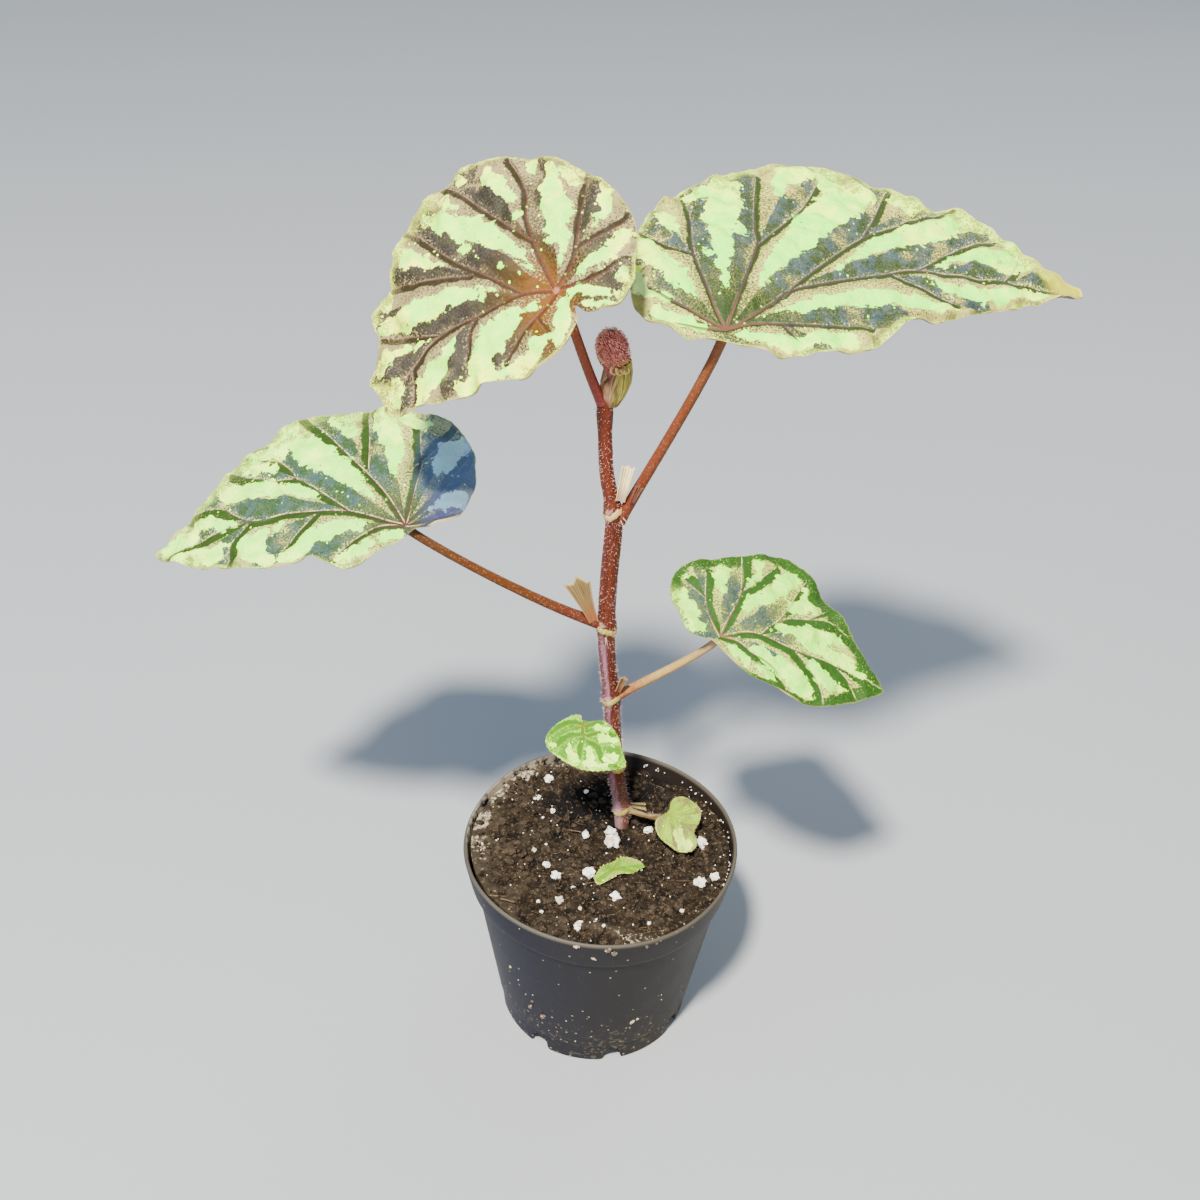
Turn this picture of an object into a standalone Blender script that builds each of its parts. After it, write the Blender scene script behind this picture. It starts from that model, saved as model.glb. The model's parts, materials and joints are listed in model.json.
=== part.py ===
# A young begonia with silver-marked leaves, growing in a small plastic pot.
# Sizes are in millimetres and are turned into metres when a mesh is made.
# The origin is the middle of the pot's underside, +Z is up, -Y is the front.
import math
import random

import bmesh
import bpy
from mathutils import Euler, Matrix, Vector, noise

MM = 0.001
GAP = 0.3
SEGMENTS = 48

# The pot
POT_HEIGHT = 85.0
RIM_RADIUS = 52.5
FOOT_RADIUS = 37.8
WALL = 1.3
BAND_HEIGHT = 14.0
BAND_STEP = 2.1
FOOT_HEIGHT = 9.4
FLOOR_UNDER = 8.4
FLOOR_TOP = 9.8
CENTRE_PAD_RADIUS = 8.0
SQUARENESS = 0.007
SQUARE_TURN = math.radians(19.5)
NOTCH_COUNT = 8
NOTCH_WIDTH = 6.8
NOTCH_HEIGHT = 7.3
NOTCH_FLARE = 1.6
NOTCH_TURN = math.radians(5.6)

# The soil
SOIL_LEVEL = 80.6
SOIL_DIP = 2.8
SOIL_DIP_PLACE = (15.0, 28.0)
SOIL_DIP_SPREAD = 20.0
SOIL_CRUST_RISE = 1.2
SOIL_RINGS = 13
LUMP_HEIGHT = 1.0
CRUMB_HEIGHT = 0.45
SOIL_SEED = 11

# White grains in the soil: x, y, width, length
GRAINS = [
    (4.3, 5.2, 5.8, 8.8), (-3.9, -14.7, 5.0, 4.8), (39.2, 5.3, 4.0, 5.4), (18.3, 11.0, 3.6, 3.0),
    (-6.0, 5.6, 2.6, 3.6), (-16.6, -15.5, 4.0, 3.2), (-20.5, -10.1, 3.0, 2.8), (6.4, -25.6, 3.6, 3.4),
    (-14.3, -27.4, 3.4, 3.2), (-6.7, -40.4, 3.6, 3.4), (43.5, -12.2, 3.4, 3.0), (37.7, -16.1, 4.4, 4.0),
    (-25.3, 25.9, 2.8, 3.2), (-19.4, 19.5, 2.6, 2.6), (-22.3, 36.4, 4.2, 4.4), (-9.7, -21.6, 2.4, 2.4),
    (12.0, 37.0, 2.8, 2.4), (31.0, -30.0, 3.0, 2.6), (-38.0, 4.0, 3.2, 3.0), (-33.0, -20.0, 2.8, 2.6),
]

# The stem: the line of its middle, from inside the soil to the tip
STEM_LINE = [
    (10.3, 15.9, 36), (8.2, 15.9, 77), (7.7, 15.8, 88), (4.6, 15.7, 105), (2.6, 15.7, 125), (1.2, 15.6, 144),
    (-1.1, 15.5, 162), (-2.1, 15.5, 177), (-2.1, 15.5, 197), (-1.3, 15.5, 219), (-2.3, 15.4, 228.5),
    (-4.7, 15.4, 241.5), (-5.9, 15.3, 256.5), (-6.9, 15.3, 267.5),
]
STEM_RADIUS = [(36, 2.6), (77, 2.9), (105, 3.1), (144, 3.0), (177, 3.1), (215, 3.1), (232, 2.5), (268, 2.2)]
STEM_SIDES = 12
NODE_SWELLING = 0.6
NODE_SPREAD = 3.2
SCAR_HEIGHT = 0.45
SCAR_HALF_WIDTH = 1.3
SCAR_TILT = 0.45
# Height of each node of the stem, and which side its leaf stands on (+1 right, -1 left)
NODES = {"leaf1": (88, 1), "leaf2": (108, -1), "leaf3": (144.5, 1), "leaf4": (177, -1), "leaf5": (226, 1)}

# Leaves, numbered from the lowest. "at" is where the petiole meets the blade; heading, pitch and
# roll turn the blade, whose u axis runs to the tip. The outline goes round the margin in (u, v).
# "bends" are the radii of its curve towards the tip, towards the back lobes and across.
LEAVES = {
    "leaf1": dict(
        at=(26, 11.3, 89.3), heading=-64, pitch=-15, roll=4, bends=(110, 25, 70), dimple=(0.5, 4),
        thickness=0.8, waves=(0.5, 5), spokes=26, rings=(0.35, 0.7, 1.0),
        outline=[(-0.5, -2), (-2, 1.1), (-5, 3.5), (-5.2, 8.4), (-2, 11.5), (2.4, 12.4), (7, 10), (10.3, 6),
                 (15, 5), (17.4, 2), (16, -3), (13, -5.3), (9, -7.3), (4.2, -7.6), (1.2, -6)]),
    "leaf2": dict(
        at=(-8.8, 6.3, 137.1), heading=-39.2, pitch=-20.4, roll=28.6, bends=(74, 25, 56), dimple=(0.8, 4),
        thickness=0.8, waves=(0.5, 7), spokes=30, rings=(0.3, 0.65, 1.0),
        outline=[(-1.6, 1.2), (-4.3, 1.4), (-6.4, -2.4), (-7.4, -7), (-7, -12), (-5, -14.2), (-1, -15), (6.8, -13.4),
                 (12.2, -11), (17.8, -5.5), (21.4, 0.6), (16.4, 3.8), (12.8, 6), (8.5, 7), (4, 6.3), (1, 3.4)]),
    "leaf3": dict(
        at=(38.1, 9.6, 178.8), heading=-3.3, pitch=-16.8, roll=26.2, bends=(275, 60, 190), dimple=(2.5, 9),
        thickness=0.8, waves=(1.0, 9), spokes=44, rings=(0.16, 0.38, 0.6, 0.82, 1.0),
        outline=[(-3, -2), (-8, -3), (-13, -1), (-18, 5), (-20.5, 11), (-21, 18), (-18, 24), (-8, 30), (3, 35),
                 (14, 40), (23, 40), (31, 35), (42, 25), (54, 14), (64, 3), (56, -4), (46, -10), (38, -13),
                 (29, -13), (18, -12), (9, -9), (2, -5)]),
    "leaf4": dict(
        at=(-70.8, 6.5, 221.6), heading=178.1, pitch=-12.7, roll=-25.2, bends=(495, 72, 250), dimple=(3.0, 10),
        thickness=0.8, waves=(1.2, 11), spokes=46, rings=(0.14, 0.34, 0.56, 0.79, 1.0),
        outline=[(-4, 1.5), (1, 5), (7, 10), (14, 14), (22, 13.5), (30, 9), (37, 9.5), (47, 9), (62, 7), (79, 2),
                 (92, -4), (88, -11), (79, -17), (74, -26), (70, -33), (63, -37), (55, -44), (49, -51),
                 (35, -53), (20, -52), (8, -51), (-5, -47), (-15, -40), (-22, -29), (-24, -18), (-22, -9),
                 (-17, -1), (-10, 2)]),
    "leaf5": dict(
        at=(29.3, 5.2, 299), heading=19.9, pitch=-0.9, roll=23.4, bends=(880, 52, 300), dimple=(3.0, 12),
        thickness=0.8, waves=(1.4, 13), spokes=52, rings=(0.12, 0.32, 0.54, 0.78, 1.0),
        outline=[(-1, -4), (-8, -2.5), (-15, 0), (-21, 7), (-24, 18), (-21, 31), (-13, 46), (-2, 57), (14, 65),
                 (32, 71), (50, 73), (68, 68), (80, 59), (87, 55), (92, 48), (103, 45), (111, 36), (118, 24),
                 (126, 14), (132.5, 5), (122, 2.8), (102, -0.3), (90, -2), (78, -3.2), (62, -4), (50, -10),
                 (40, -14), (24, -13), (12, -13), (4, -8)]),
    "leaf6": dict(
        at=(-21.7, -2.3, 312.8), heading=-167.7, pitch=-34.9, roll=-33.9, bends=(250, 89, 280), dimple=(3.5, 11),
        thickness=0.8, waves=(1.2, 12), spokes=52, rings=(0.14, 0.34, 0.56, 0.79, 1.0),
        outline=[(-3, 9), (0, 14), (8, 18), (20, 18), (30, 13.5), (40, 11), (52, 5), (60, 2), (65, -1), (64, -8),
                 (65, -13), (61, -18), (56, -22), (55, -29), (53.5, -33), (47, -36), (42, -41), (38, -47), (30, -51),
                 (20, -54), (10, -55), (-2, -52), (-14, -43), (-21, -35), (-27, -26), (-30, -14), (-29, -3),
                 (-24, 7), (-18, 14), (-10, 15), (-5, 13)]),
}

# A scrap of leaf that lies on the soil
SCRAP = dict(
    at=(5, -13.6, 82.2), heading=19.7, pitch=2, roll=12, bends=(60, 60, 60), dimple=(0.0, 4),
    thickness=0.7, waves=(0.3, 6), spokes=26, rings=(0.5, 1.0),
    outline=[(-7.5, -0.5), (-4.8, 2.4), (-1, 3.6), (3.6, 4.9), (7, 5.3), (10, 3.8), (12.8, 0), (10.6, -1.2),
             (6.3, -2.4), (3.4, -1.6), (-0.5, -2), (-3.5, -3.2), (-6.8, -3.8)])

# Petioles: height of the foot in the stem, a point on the way, the length that stands square to
# the blade, radii at foot and head
PETIOLES = {
    "leaf1": dict(foot=88, bow=(15.1, 13, 86.3), square=4, radii=(1.5, 1.2)),
    "leaf2": dict(foot=108, bow=(-0.2, 12.1, 119), square=6, radii=(1.4, 1.1)),
    "leaf3": dict(foot=143, bow=(13.4, 14.9, 153.6), square=15, radii=(1.8, 1.4)),
    "leaf4": dict(foot=177.5, bow=(-21.9, 13.4, 183.5), square=6, radii=(2.0, 1.5)),
    "leaf5": dict(foot=218, bow=(11.8, 14.3, 248.8), square=20, radii=(2.0, 1.6)),
    "leaf6": dict(foot=265.5, bow=(-11.4, 11.1, 275.4), square=8, radii=(1.7, 1.5)),
}
PETIOLE_SIDES = 8

# Stipules: papery scales in the axils. Foot, head, widths there, depth of the curl, torn edge
STIPULES = {
    "leaf1_stipule": dict(foot=(11.4, 14.5, 90.8), head=(17.2, 12.5, 93), widths=(2.4, 3.4), curl=1.6, torn=0.5),
    "leaf3_stipule": dict(foot=(3.2, 13.2, 148.6), head=(5, 12.3, 155.7), widths=(1.8, 3.4), curl=1.0, torn=0.8),
    "leaf4_stipule": dict(foot=(-6.5, 13.4, 180.6), head=(-13.4, 11.7, 200.7), widths=(3.4, 11.4), curl=3.2, torn=2.0),
    "leaf5_stipule": dict(foot=(0.8, 13.1, 232.6), head=(2.1, 12.5, 246.7), widths=(3.6, 4.6), curl=1.6, torn=1.4),
    "leaf5_bract": dict(foot=(4.3, 12, 231.7), head=(6.6, 11.1, 238.9), widths=(1.8, 2.6), curl=0.8, torn=0.8),
}
STIPULE_THICKNESS = 0.6

# The growing tip: the ribbed sheath and the folded young leaf in it
TIP_FOOT = (-4.6, 15.3, 267.1)
TIP_HEAD = (-1.8, 15.4, 277.8)
TIP_RADII = (2.2, 5.3)
TIP_RIBS = 9
TIP_RIB_HEIGHT = 0.22
TIP_LIP = 0.8
TIP_WALL = 0.7
# Rings of the folded young leaf from its stalk up: x, y, z, radius
YOUNG_RINGS = [
    (-4.3, 15.4, 269.2, 1.0), (-4.0, 15.4, 273.4, 1.0), (-3.2, 15.4, 275.8, 1.5), (-2.6, 15.4, 277.6, 2.6),
    (-2.8, 15.4, 279.2, 4.2), (-3.2, 15.4, 281.4, 5.2), (-4.0, 15.3, 284.8, 5.4), (-4.4, 15.3, 288.0, 4.8),
    (-4.8, 15.3, 290.6, 3.4), (-5.0, 15.3, 292.4, 1.4),
]
YOUNG_CRUMPLE = 0.09


def clear_scene():
    for obj in list(bpy.data.objects):
        bpy.data.objects.remove(obj, do_unlink=True)


def material(name, colour, roughness=0.5, metallic=0.0):
    mat = bpy.data.materials.new(name)
    mat.use_nodes = True
    shader = mat.node_tree.nodes["Principled BSDF"]
    shader.inputs["Base Color"].default_value = (*colour, 1.0)
    shader.inputs["Roughness"].default_value = roughness
    shader.inputs["Metallic"].default_value = metallic
    return mat


def new_object(name, points, faces, mat, smooth=True):
    """Make a closed mesh object from points in millimetres."""
    mesh = bpy.data.meshes.new(name)
    mesh.from_pydata([Vector(p) * MM for p in points], [], faces)
    fix = bmesh.new()
    fix.from_mesh(mesh)
    bmesh.ops.recalc_face_normals(fix, faces=fix.faces)
    fix.to_mesh(mesh)
    fix.free()
    if mat is not None:
        mesh.materials.append(mat)
    obj = bpy.data.objects.new(name, mesh)
    bpy.context.scene.collection.objects.link(obj)
    if smooth:
        mesh.shade_smooth()
        mesh.set_sharp_from_angle(angle=math.radians(40))
    return obj


def as_cutter(obj):
    obj.hide_render = True
    obj.display_type = "WIRE"
    return obj


def cut(obj, cutter):
    """Take the cutter's shape away from the object."""
    step = obj.modifiers.new("cut_" + cutter.name, "BOOLEAN")
    step.operation = "DIFFERENCE"
    step.solver = "EXACT"
    step.object = cutter


def apply_modifiers(obj):
    depsgraph = bpy.context.evaluated_depsgraph_get()
    mesh = bpy.data.meshes.new_from_object(obj.evaluated_get(depsgraph))
    obj.modifiers.clear()
    obj.data = mesh


def spline(points, places, closed=False):
    """Points of a Catmull-Rom curve; places counts the steps of each stretch."""
    count = len(points)
    stretches = count if closed else count - 1
    line = []
    for i in range(stretches):
        before, start, end, after = (points[(i + k) % count] if closed else
                                     points[min(max(i + k, 0), count - 1)] for k in (-1, 0, 1, 2))
        for s in range(places[i]):
            t = s / places[i]
            line.append([
                0.5 * (2 * b + (c - a) * t + (2 * a - 5 * b + 4 * c - d) * t * t
                       + (3 * b - a - 3 * c + d) * t ** 3)
                for a, b, c, d in zip(before, start, end, after)])
    if not closed:
        line.append(list(points[-1]))
    return line


def tube_rings(line, radii, sides, shape=None):
    """Rings of points round a line, with no twist from ring to ring."""
    line = [Vector(p) for p in line]
    side = Vector((1, 0, 0))
    rings = []
    for i, (point, radius) in enumerate(zip(line, radii)):
        ahead = (line[min(i + 1, len(line) - 1)] - line[max(i - 1, 0)]).normalized()
        side = (side - ahead * side.dot(ahead)).normalized()
        up = ahead.cross(side)
        ring = []
        for k in range(sides):
            angle = 2 * math.pi * k / sides
            reach = radius + (shape(point.z, angle) if shape else 0.0)
            ring.append(point + side * reach * math.cos(angle) + up * reach * math.sin(angle))
        rings.append(ring)
    return rings


def ring_solid(rings, first=None, last=None):
    """Points and faces of a solid through rings, closed with a fan at each end."""
    sides = len(rings[0])
    points = [p for ring in rings for p in ring]
    faces = []
    for i in range(len(rings) - 1):
        for k in range(sides):
            n = (k + 1) % sides
            faces.append((i * sides + k, i * sides + n, (i + 1) * sides + n, (i + 1) * sides + k))
    for ring, centre, start in ((rings[0], first, 0), (rings[-1], last, (len(rings) - 1) * sides)):
        points.append(centre if centre is not None else sum(ring, Vector()) / sides)
        middle = len(points) - 1
        faces += [(middle, start + k, start + (k + 1) % sides) for k in range(sides)]
    return points, faces


def square_factor(z, angle):
    """The moulded rim is a little square; the foot is round."""
    return 1 + SQUARENESS * (z / POT_HEIGHT) ** 2 * math.cos(4 * (angle - SQUARE_TURN))


def pot_profile():
    band_foot = POT_HEIGHT - BAND_HEIGHT
    band_radius = RIM_RADIUS - 2.4
    wall_top = band_radius - BAND_STEP
    inside = WALL + 0.1
    under = [(CENTRE_PAD_RADIUS, 0), (CENTRE_PAD_RADIUS + 0.6, FLOOR_UNDER), (FOOT_RADIUS - 1.5, FLOOR_UNDER),
             (FOOT_RADIUS - 1.7, 0)]
    outside = [(FOOT_RADIUS - 0.5, 0), (FOOT_RADIUS, 0.6), (FOOT_RADIUS + 0.6, FOOT_HEIGHT),
               (FOOT_RADIUS + 1.2, FOOT_HEIGHT + 0.8), (wall_top, band_foot - 0.8), (band_radius, band_foot),
               (band_radius + 0.3, band_foot + 0.8), (RIM_RADIUS, POT_HEIGHT - 1.0),
               (RIM_RADIUS - 0.3, POT_HEIGHT - 0.25), (RIM_RADIUS - 0.8, POT_HEIGHT)]
    inner = [(RIM_RADIUS - 1.3, POT_HEIGHT - 0.25), (RIM_RADIUS - 1.6, POT_HEIGHT - 1.0),
             (band_radius - WALL + 0.2, band_foot + 1.7), (wall_top - WALL, band_foot + 0.7),
             (FOOT_RADIUS + 1.2 - inside, FLOOR_TOP)]
    return under, outside, inner


def lathe(profile, start_z, end_z):
    """Turn a profile round the pot's axis, closed at the axis by its first and last heights."""
    rings = []
    for radius, z in profile:
        rings.append([
            Vector((radius * square_factor(z, a) * math.cos(a), radius * square_factor(z, a) * math.sin(a), z))
            for a in (2 * math.pi * k / SEGMENTS for k in range(SEGMENTS))])
    return ring_solid(rings, Vector((0, 0, start_z)), Vector((0, 0, end_z)))


def notch_cutter():
    """Eight arched notches round the foot, each wider at the floor."""
    half = NOTCH_WIDTH / 2
    arch = [(half * math.cos(a), NOTCH_HEIGHT - half + half * math.sin(a))
            for a in (math.pi * k / 6 for k in range(7))]
    outline = [(half + NOTCH_FLARE, -1.0), (half + NOTCH_FLARE, 0.0), (half + 0.2, 1.8)] + arch
    outline += [(-half - 0.2, 1.8), (-half - NOTCH_FLARE, 0.0), (-half - NOTCH_FLARE, -1.0)]
    points = []
    faces = []
    for n in range(NOTCH_COUNT):
        turn = Matrix.Rotation(-math.pi / 2 + NOTCH_TURN + 2 * math.pi * n / NOTCH_COUNT, 3, "Z")
        start = len(points)
        for radius in (FOOT_RADIUS - 4, FOOT_RADIUS + 3):
            points += [turn @ Vector((radius, x, z)) for x, z in outline]
        count = len(outline)
        faces.append([start + k for k in range(count)])
        faces.append([start + count + k for k in range(count)])
        for k in range(count):
            after = (k + 1) % count
            faces.append((start + k, start + after, start + count + after, start + count + k))
    return as_cutter(new_object("notch_cutter", points, faces, None, smooth=False))


def make_pot():
    under, outside, inner = pot_profile()
    points, faces = lathe(under + outside + inner, 0.0, FLOOR_TOP)
    pot = new_object("pot", points, faces, material("pot_plastic", (0.045, 0.045, 0.052), 0.45))
    cut(pot, notch_cutter())


def inner_radius(z):
    """Radius of the pot's inner wall at a height."""
    line = pot_profile()[2][1:]
    for (r1, z1), (r2, z2) in zip(line, line[1:]):
        if z2 <= z <= z1:
            return r2 + (r1 - r2) * (z - z2) / (z1 - z2)
    return line[0][0]


def soil_height(x, y):
    """Height of the soil: a dip behind the stem, a crust at the left wall, lumps and crumbs."""
    dip = ((x - SOIL_DIP_PLACE[0]) ** 2 + (y - SOIL_DIP_PLACE[1]) ** 2) / (2 * SOIL_DIP_SPREAD ** 2)
    crust = max(0.0, min(1.0, (-x - 26) / 14))
    scrap = ((x - SCRAP["at"][0] - 2) ** 2 + (y - SCRAP["at"][1]) ** 2) / 130
    rough = 1 - 0.85 * math.exp(-scrap)
    lumps = noise.noise(Vector((x, y, 3.0)) / 9.0) * 2 * LUMP_HEIGHT
    crumbs = noise.noise(Vector((x, y, 40.0)) / 3.2) * 2 * CRUMB_HEIGHT
    return SOIL_LEVEL - SOIL_DIP * math.exp(-dip) + SOIL_CRUST_RISE * crust + rough * (lumps + crumbs)


def make_soil(stem_cutter):
    band_foot = POT_HEIGHT - BAND_HEIGHT
    floor = FLOOR_TOP + GAP
    wall = [(inner_radius(floor) - GAP, floor), (inner_radius(band_foot + 0.7) - GAP, band_foot + 0.7 + GAP),
            (inner_radius(band_foot + 1.7) - GAP - 0.1, band_foot + 1.7 + GAP)]
    angles = [2 * math.pi * k / SEGMENTS for k in range(SEGMENTS)]
    rings = []
    for reach, z in wall:
        rings.append([Vector((reach * square_factor(z, a) * math.cos(a), reach * square_factor(z, a) * math.sin(a), z))
                      for a in angles])
    edge = inner_radius(POT_HEIGHT - 6) - GAP - 0.1
    for i in range(SOIL_RINGS):
        share = 1 - i / SOIL_RINGS
        ring = []
        for a in angles:
            reach = edge * square_factor(SOIL_LEVEL, a) * share
            x, y = reach * math.cos(a), reach * math.sin(a)
            ring.append(Vector((x, y, min(soil_height(x, y), POT_HEIGHT - 2.0))))
        rings.append(ring)
    points, faces = ring_solid(rings, Vector((0, 0, floor)), Vector((0, 0, soil_height(0, 0))))
    soil = new_object("soil", points, faces, material("soil", (0.035, 0.022, 0.014), 0.95), smooth=False)
    fuse_grains(soil)
    cut(soil, stem_cutter)


def fuse_grains(soil):
    """Join the white grains to the soil they are sunk in."""
    rng = random.Random(SOIL_SEED)
    grains = bpy.data.collections.new("grains")
    bpy.context.scene.collection.children.link(grains)
    for i, (x, y, width, length) in enumerate(GRAINS):
        blob = bmesh.new()
        bmesh.ops.create_icosphere(blob, subdivisions=2 if i == 0 else 1, radius=0.5)
        for vert in blob.verts:
            vert.co *= rng.uniform(0.88, 1.1)
        height = 0.85 * width
        size = Matrix.Diagonal((width * MM, length * MM, height * MM, 1.0))
        place = Matrix.Translation(Vector((x, y, soil_height(x, y) + 0.22 * height)) * MM)
        bmesh.ops.transform(blob, matrix=place @ Matrix.Rotation(rng.uniform(-0.5, 0.5), 4, "Z") @ size,
                            verts=blob.verts)
        mesh = bpy.data.meshes.new("grain")
        blob.to_mesh(mesh)
        blob.free()
        grains.objects.link(bpy.data.objects.new("grain", mesh))
    step = soil.modifiers.new("grains", "BOOLEAN")
    step.operation = "UNION"
    step.operand_type = "COLLECTION"
    step.solver = "EXACT"
    step.collection = grains
    apply_modifiers(soil)
    for obj in list(grains.objects):
        bpy.data.objects.remove(obj, do_unlink=True)
    bpy.data.collections.remove(grains)


def stem_radius(z):
    for (z1, r1), (z2, r2) in zip(STEM_RADIUS, STEM_RADIUS[1:]):
        if z <= z2:
            return r1 + (r2 - r1) * max(0.0, z - z1) / (z2 - z1)
    return STEM_RADIUS[-1][1]


def stem_relief(z, angle):
    """Swollen nodes, each with the raised, tilted scar of its stipules."""
    relief = 0.0
    for height, leaf_side in NODES.values():
        relief += NODE_SWELLING * math.exp(-((z - height) / NODE_SPREAD) ** 2)
        scar = height - 0.6 + leaf_side * SCAR_TILT * stem_radius(height) * math.cos(angle)
        relief += SCAR_HEIGHT * max(0.0, 1 - ((z - scar) / SCAR_HALF_WIDTH) ** 2)
    return relief


def stem_solid(extra=0.0):
    line = spline(STEM_LINE, [2, 4, 7, 5, 4, 6, 6, 6, 4, 8, 6, 3, 3])
    radii = [stem_radius(p[2]) + extra for p in line]
    rings = tube_rings(line, radii, STEM_SIDES, stem_relief)
    tip = Vector(line[-1]) + Vector((0, 0, 1.6 + extra))
    rings.append([point + (tip - point) * 0.45 + Vector((0, 0, 0.5)) for point in rings[-1]])
    return ring_solid(rings, Vector(line[0]) - Vector((0, 0, 1.5)), tip)


def make_stem():
    points, faces = stem_solid()
    new_object("stem", points, faces, material("stem_skin", (0.22, 0.045, 0.03), 0.45))
    points, faces = stem_solid(GAP + 0.05)
    return as_cutter(new_object("stem_cutter", points, faces, None))


def leaf_turn(leaf):
    return Euler((math.radians(leaf["roll"]), -math.radians(leaf["pitch"]), math.radians(leaf["heading"]))).to_matrix()


def blade_lift(leaf, u, v, share, along):
    """Height of the blade over its flat plane: its curves, the dimple and the waved margin."""
    tip_bend, back_bend, side_bend = leaf["bends"]
    rise, spread = leaf["dimple"]
    wave, count = leaf["waves"]
    lift = -u * u / (2 * (tip_bend if u > 0 else back_bend)) - v * v / (2 * side_bend)
    lift += rise * (1 - math.exp(-(u * u + v * v) / spread ** 2))
    return lift + wave * share ** 3 * math.sin(2 * math.pi * count * along)


def margin(leaf):
    """Points of the blade's margin, each with its share of the way round."""
    outline = leaf["outline"]
    lengths = [math.dist(a, b) for a, b in zip(outline, outline[1:] + outline[:1])]
    step = sum(lengths) / leaf["spokes"]
    line = spline(outline, [max(1, round(length / step)) for length in lengths], closed=True)
    area = sum(a[0] * b[1] - b[0] * a[1] for a, b in zip(line, line[1:] + line[:1]))
    return line if area > 0 else line[::-1]


def blade_solid(leaf):
    """A thin curved blade, cut into the same triangles above and below."""
    turn = leaf_turn(leaf)
    edge = margin(leaf)
    count = len(edge)
    half = leaf["thickness"] / 2
    points = []
    faces = []
    for side in (half, -half):
        start = len(points)
        points.append(Vector(leaf["at"]) + turn @ Vector((0, 0, side)))
        for share in leaf["rings"]:
            for k, (u, v) in enumerate(edge):
                u, v = u * share, v * share
                lift = blade_lift(leaf, u, v, share, k / count) + side
                points.append(Vector(leaf["at"]) + turn @ Vector((u, v, lift)))
        for k in range(count):
            n = (k + 1) % count
            faces.append((start, start + 1 + k, start + 1 + n))
            for ring in range(len(leaf["rings"]) - 1):
                a, b = start + 1 + ring * count + k, start + 1 + ring * count + n
                faces += [(a, a + count, b + count), (a, b + count, b)]
    size = len(points) // 2
    rim = size - count
    for k in range(count):
        n = (k + 1) % count
        faces += [(rim + k, size + rim + k, size + rim + n), (rim + k, size + rim + n, rim + n)]
    return points, faces


def petiole_solid(name, extra=0.0):
    """A round stalk from inside the stem to just under the blade."""
    leaf = LEAVES[name]
    stalk = PETIOLES[name]
    foot = min((Vector(p) for p in spline(STEM_LINE, [10] * (len(STEM_LINE) - 1))),
               key=lambda p: abs(p.z - stalk["foot"]))
    up = leaf_turn(leaf) @ Vector((0, 0, 1))
    head = Vector(leaf["at"]) - up * (leaf["thickness"] / 2 + GAP - extra)
    square = head - up * stalk["square"]
    bow = Vector(stalk["bow"])
    line = []
    steps = 14
    for i in range(steps + 1):
        t = i / steps
        line.append(foot * (1 - t) ** 3 + bow * 3 * t * (1 - t) ** 2 + square * 3 * t * t * (1 - t) + head * t ** 3)
    thick, thin = stalk["radii"]
    radii = [thin + (thick - thin) * (1 - i / steps) ** 2 + extra for i in range(steps + 1)]
    rings = tube_rings(line, radii, PETIOLE_SIDES)
    turn = up.cross(Vector((0, 1, 0))).normalized()
    ahead = up.cross(turn)
    first = rings[-1][0] - head
    start = math.atan2(first.dot(ahead), first.dot(turn))
    rings[-1] = [head + (turn * math.cos(start + k) + ahead * math.sin(start + k)) * radii[-1]
                 for k in (2 * math.pi * i / PETIOLE_SIDES for i in range(PETIOLE_SIDES))]
    return ring_solid(rings)


def make_leaves(stem_cutter):
    colours = {
        "leaf1": (0.42, 0.50, 0.20), "leaf2": (0.28, 0.48, 0.14), "leaf3": (0.33, 0.45, 0.22),
        "leaf4": (0.36, 0.44, 0.27), "leaf5": (0.38, 0.44, 0.27), "leaf6": (0.36, 0.37, 0.24)}
    stalk_colours = {
        "leaf1": (0.20, 0.12, 0.06), "leaf2": (0.30, 0.20, 0.10), "leaf3": (0.45, 0.28, 0.17),
        "leaf4": (0.42, 0.17, 0.07), "leaf5": (0.32, 0.08, 0.05), "leaf6": (0.30, 0.06, 0.04)}
    for name, leaf in LEAVES.items():
        points, faces = blade_solid(leaf)
        new_object(name + "_blade", points, faces, material(name + "_blade", colours[name], 0.4))
        points, faces = petiole_solid(name)
        stalk = new_object(name + "_petiole", points, faces, material(name + "_petiole", stalk_colours[name], 0.5))
        cut(stalk, stem_cutter)
    points, faces = blade_solid(SCRAP)
    new_object("leaf_scrap", points, faces, material("leaf_scrap", (0.33, 0.48, 0.10), 0.6))


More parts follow.
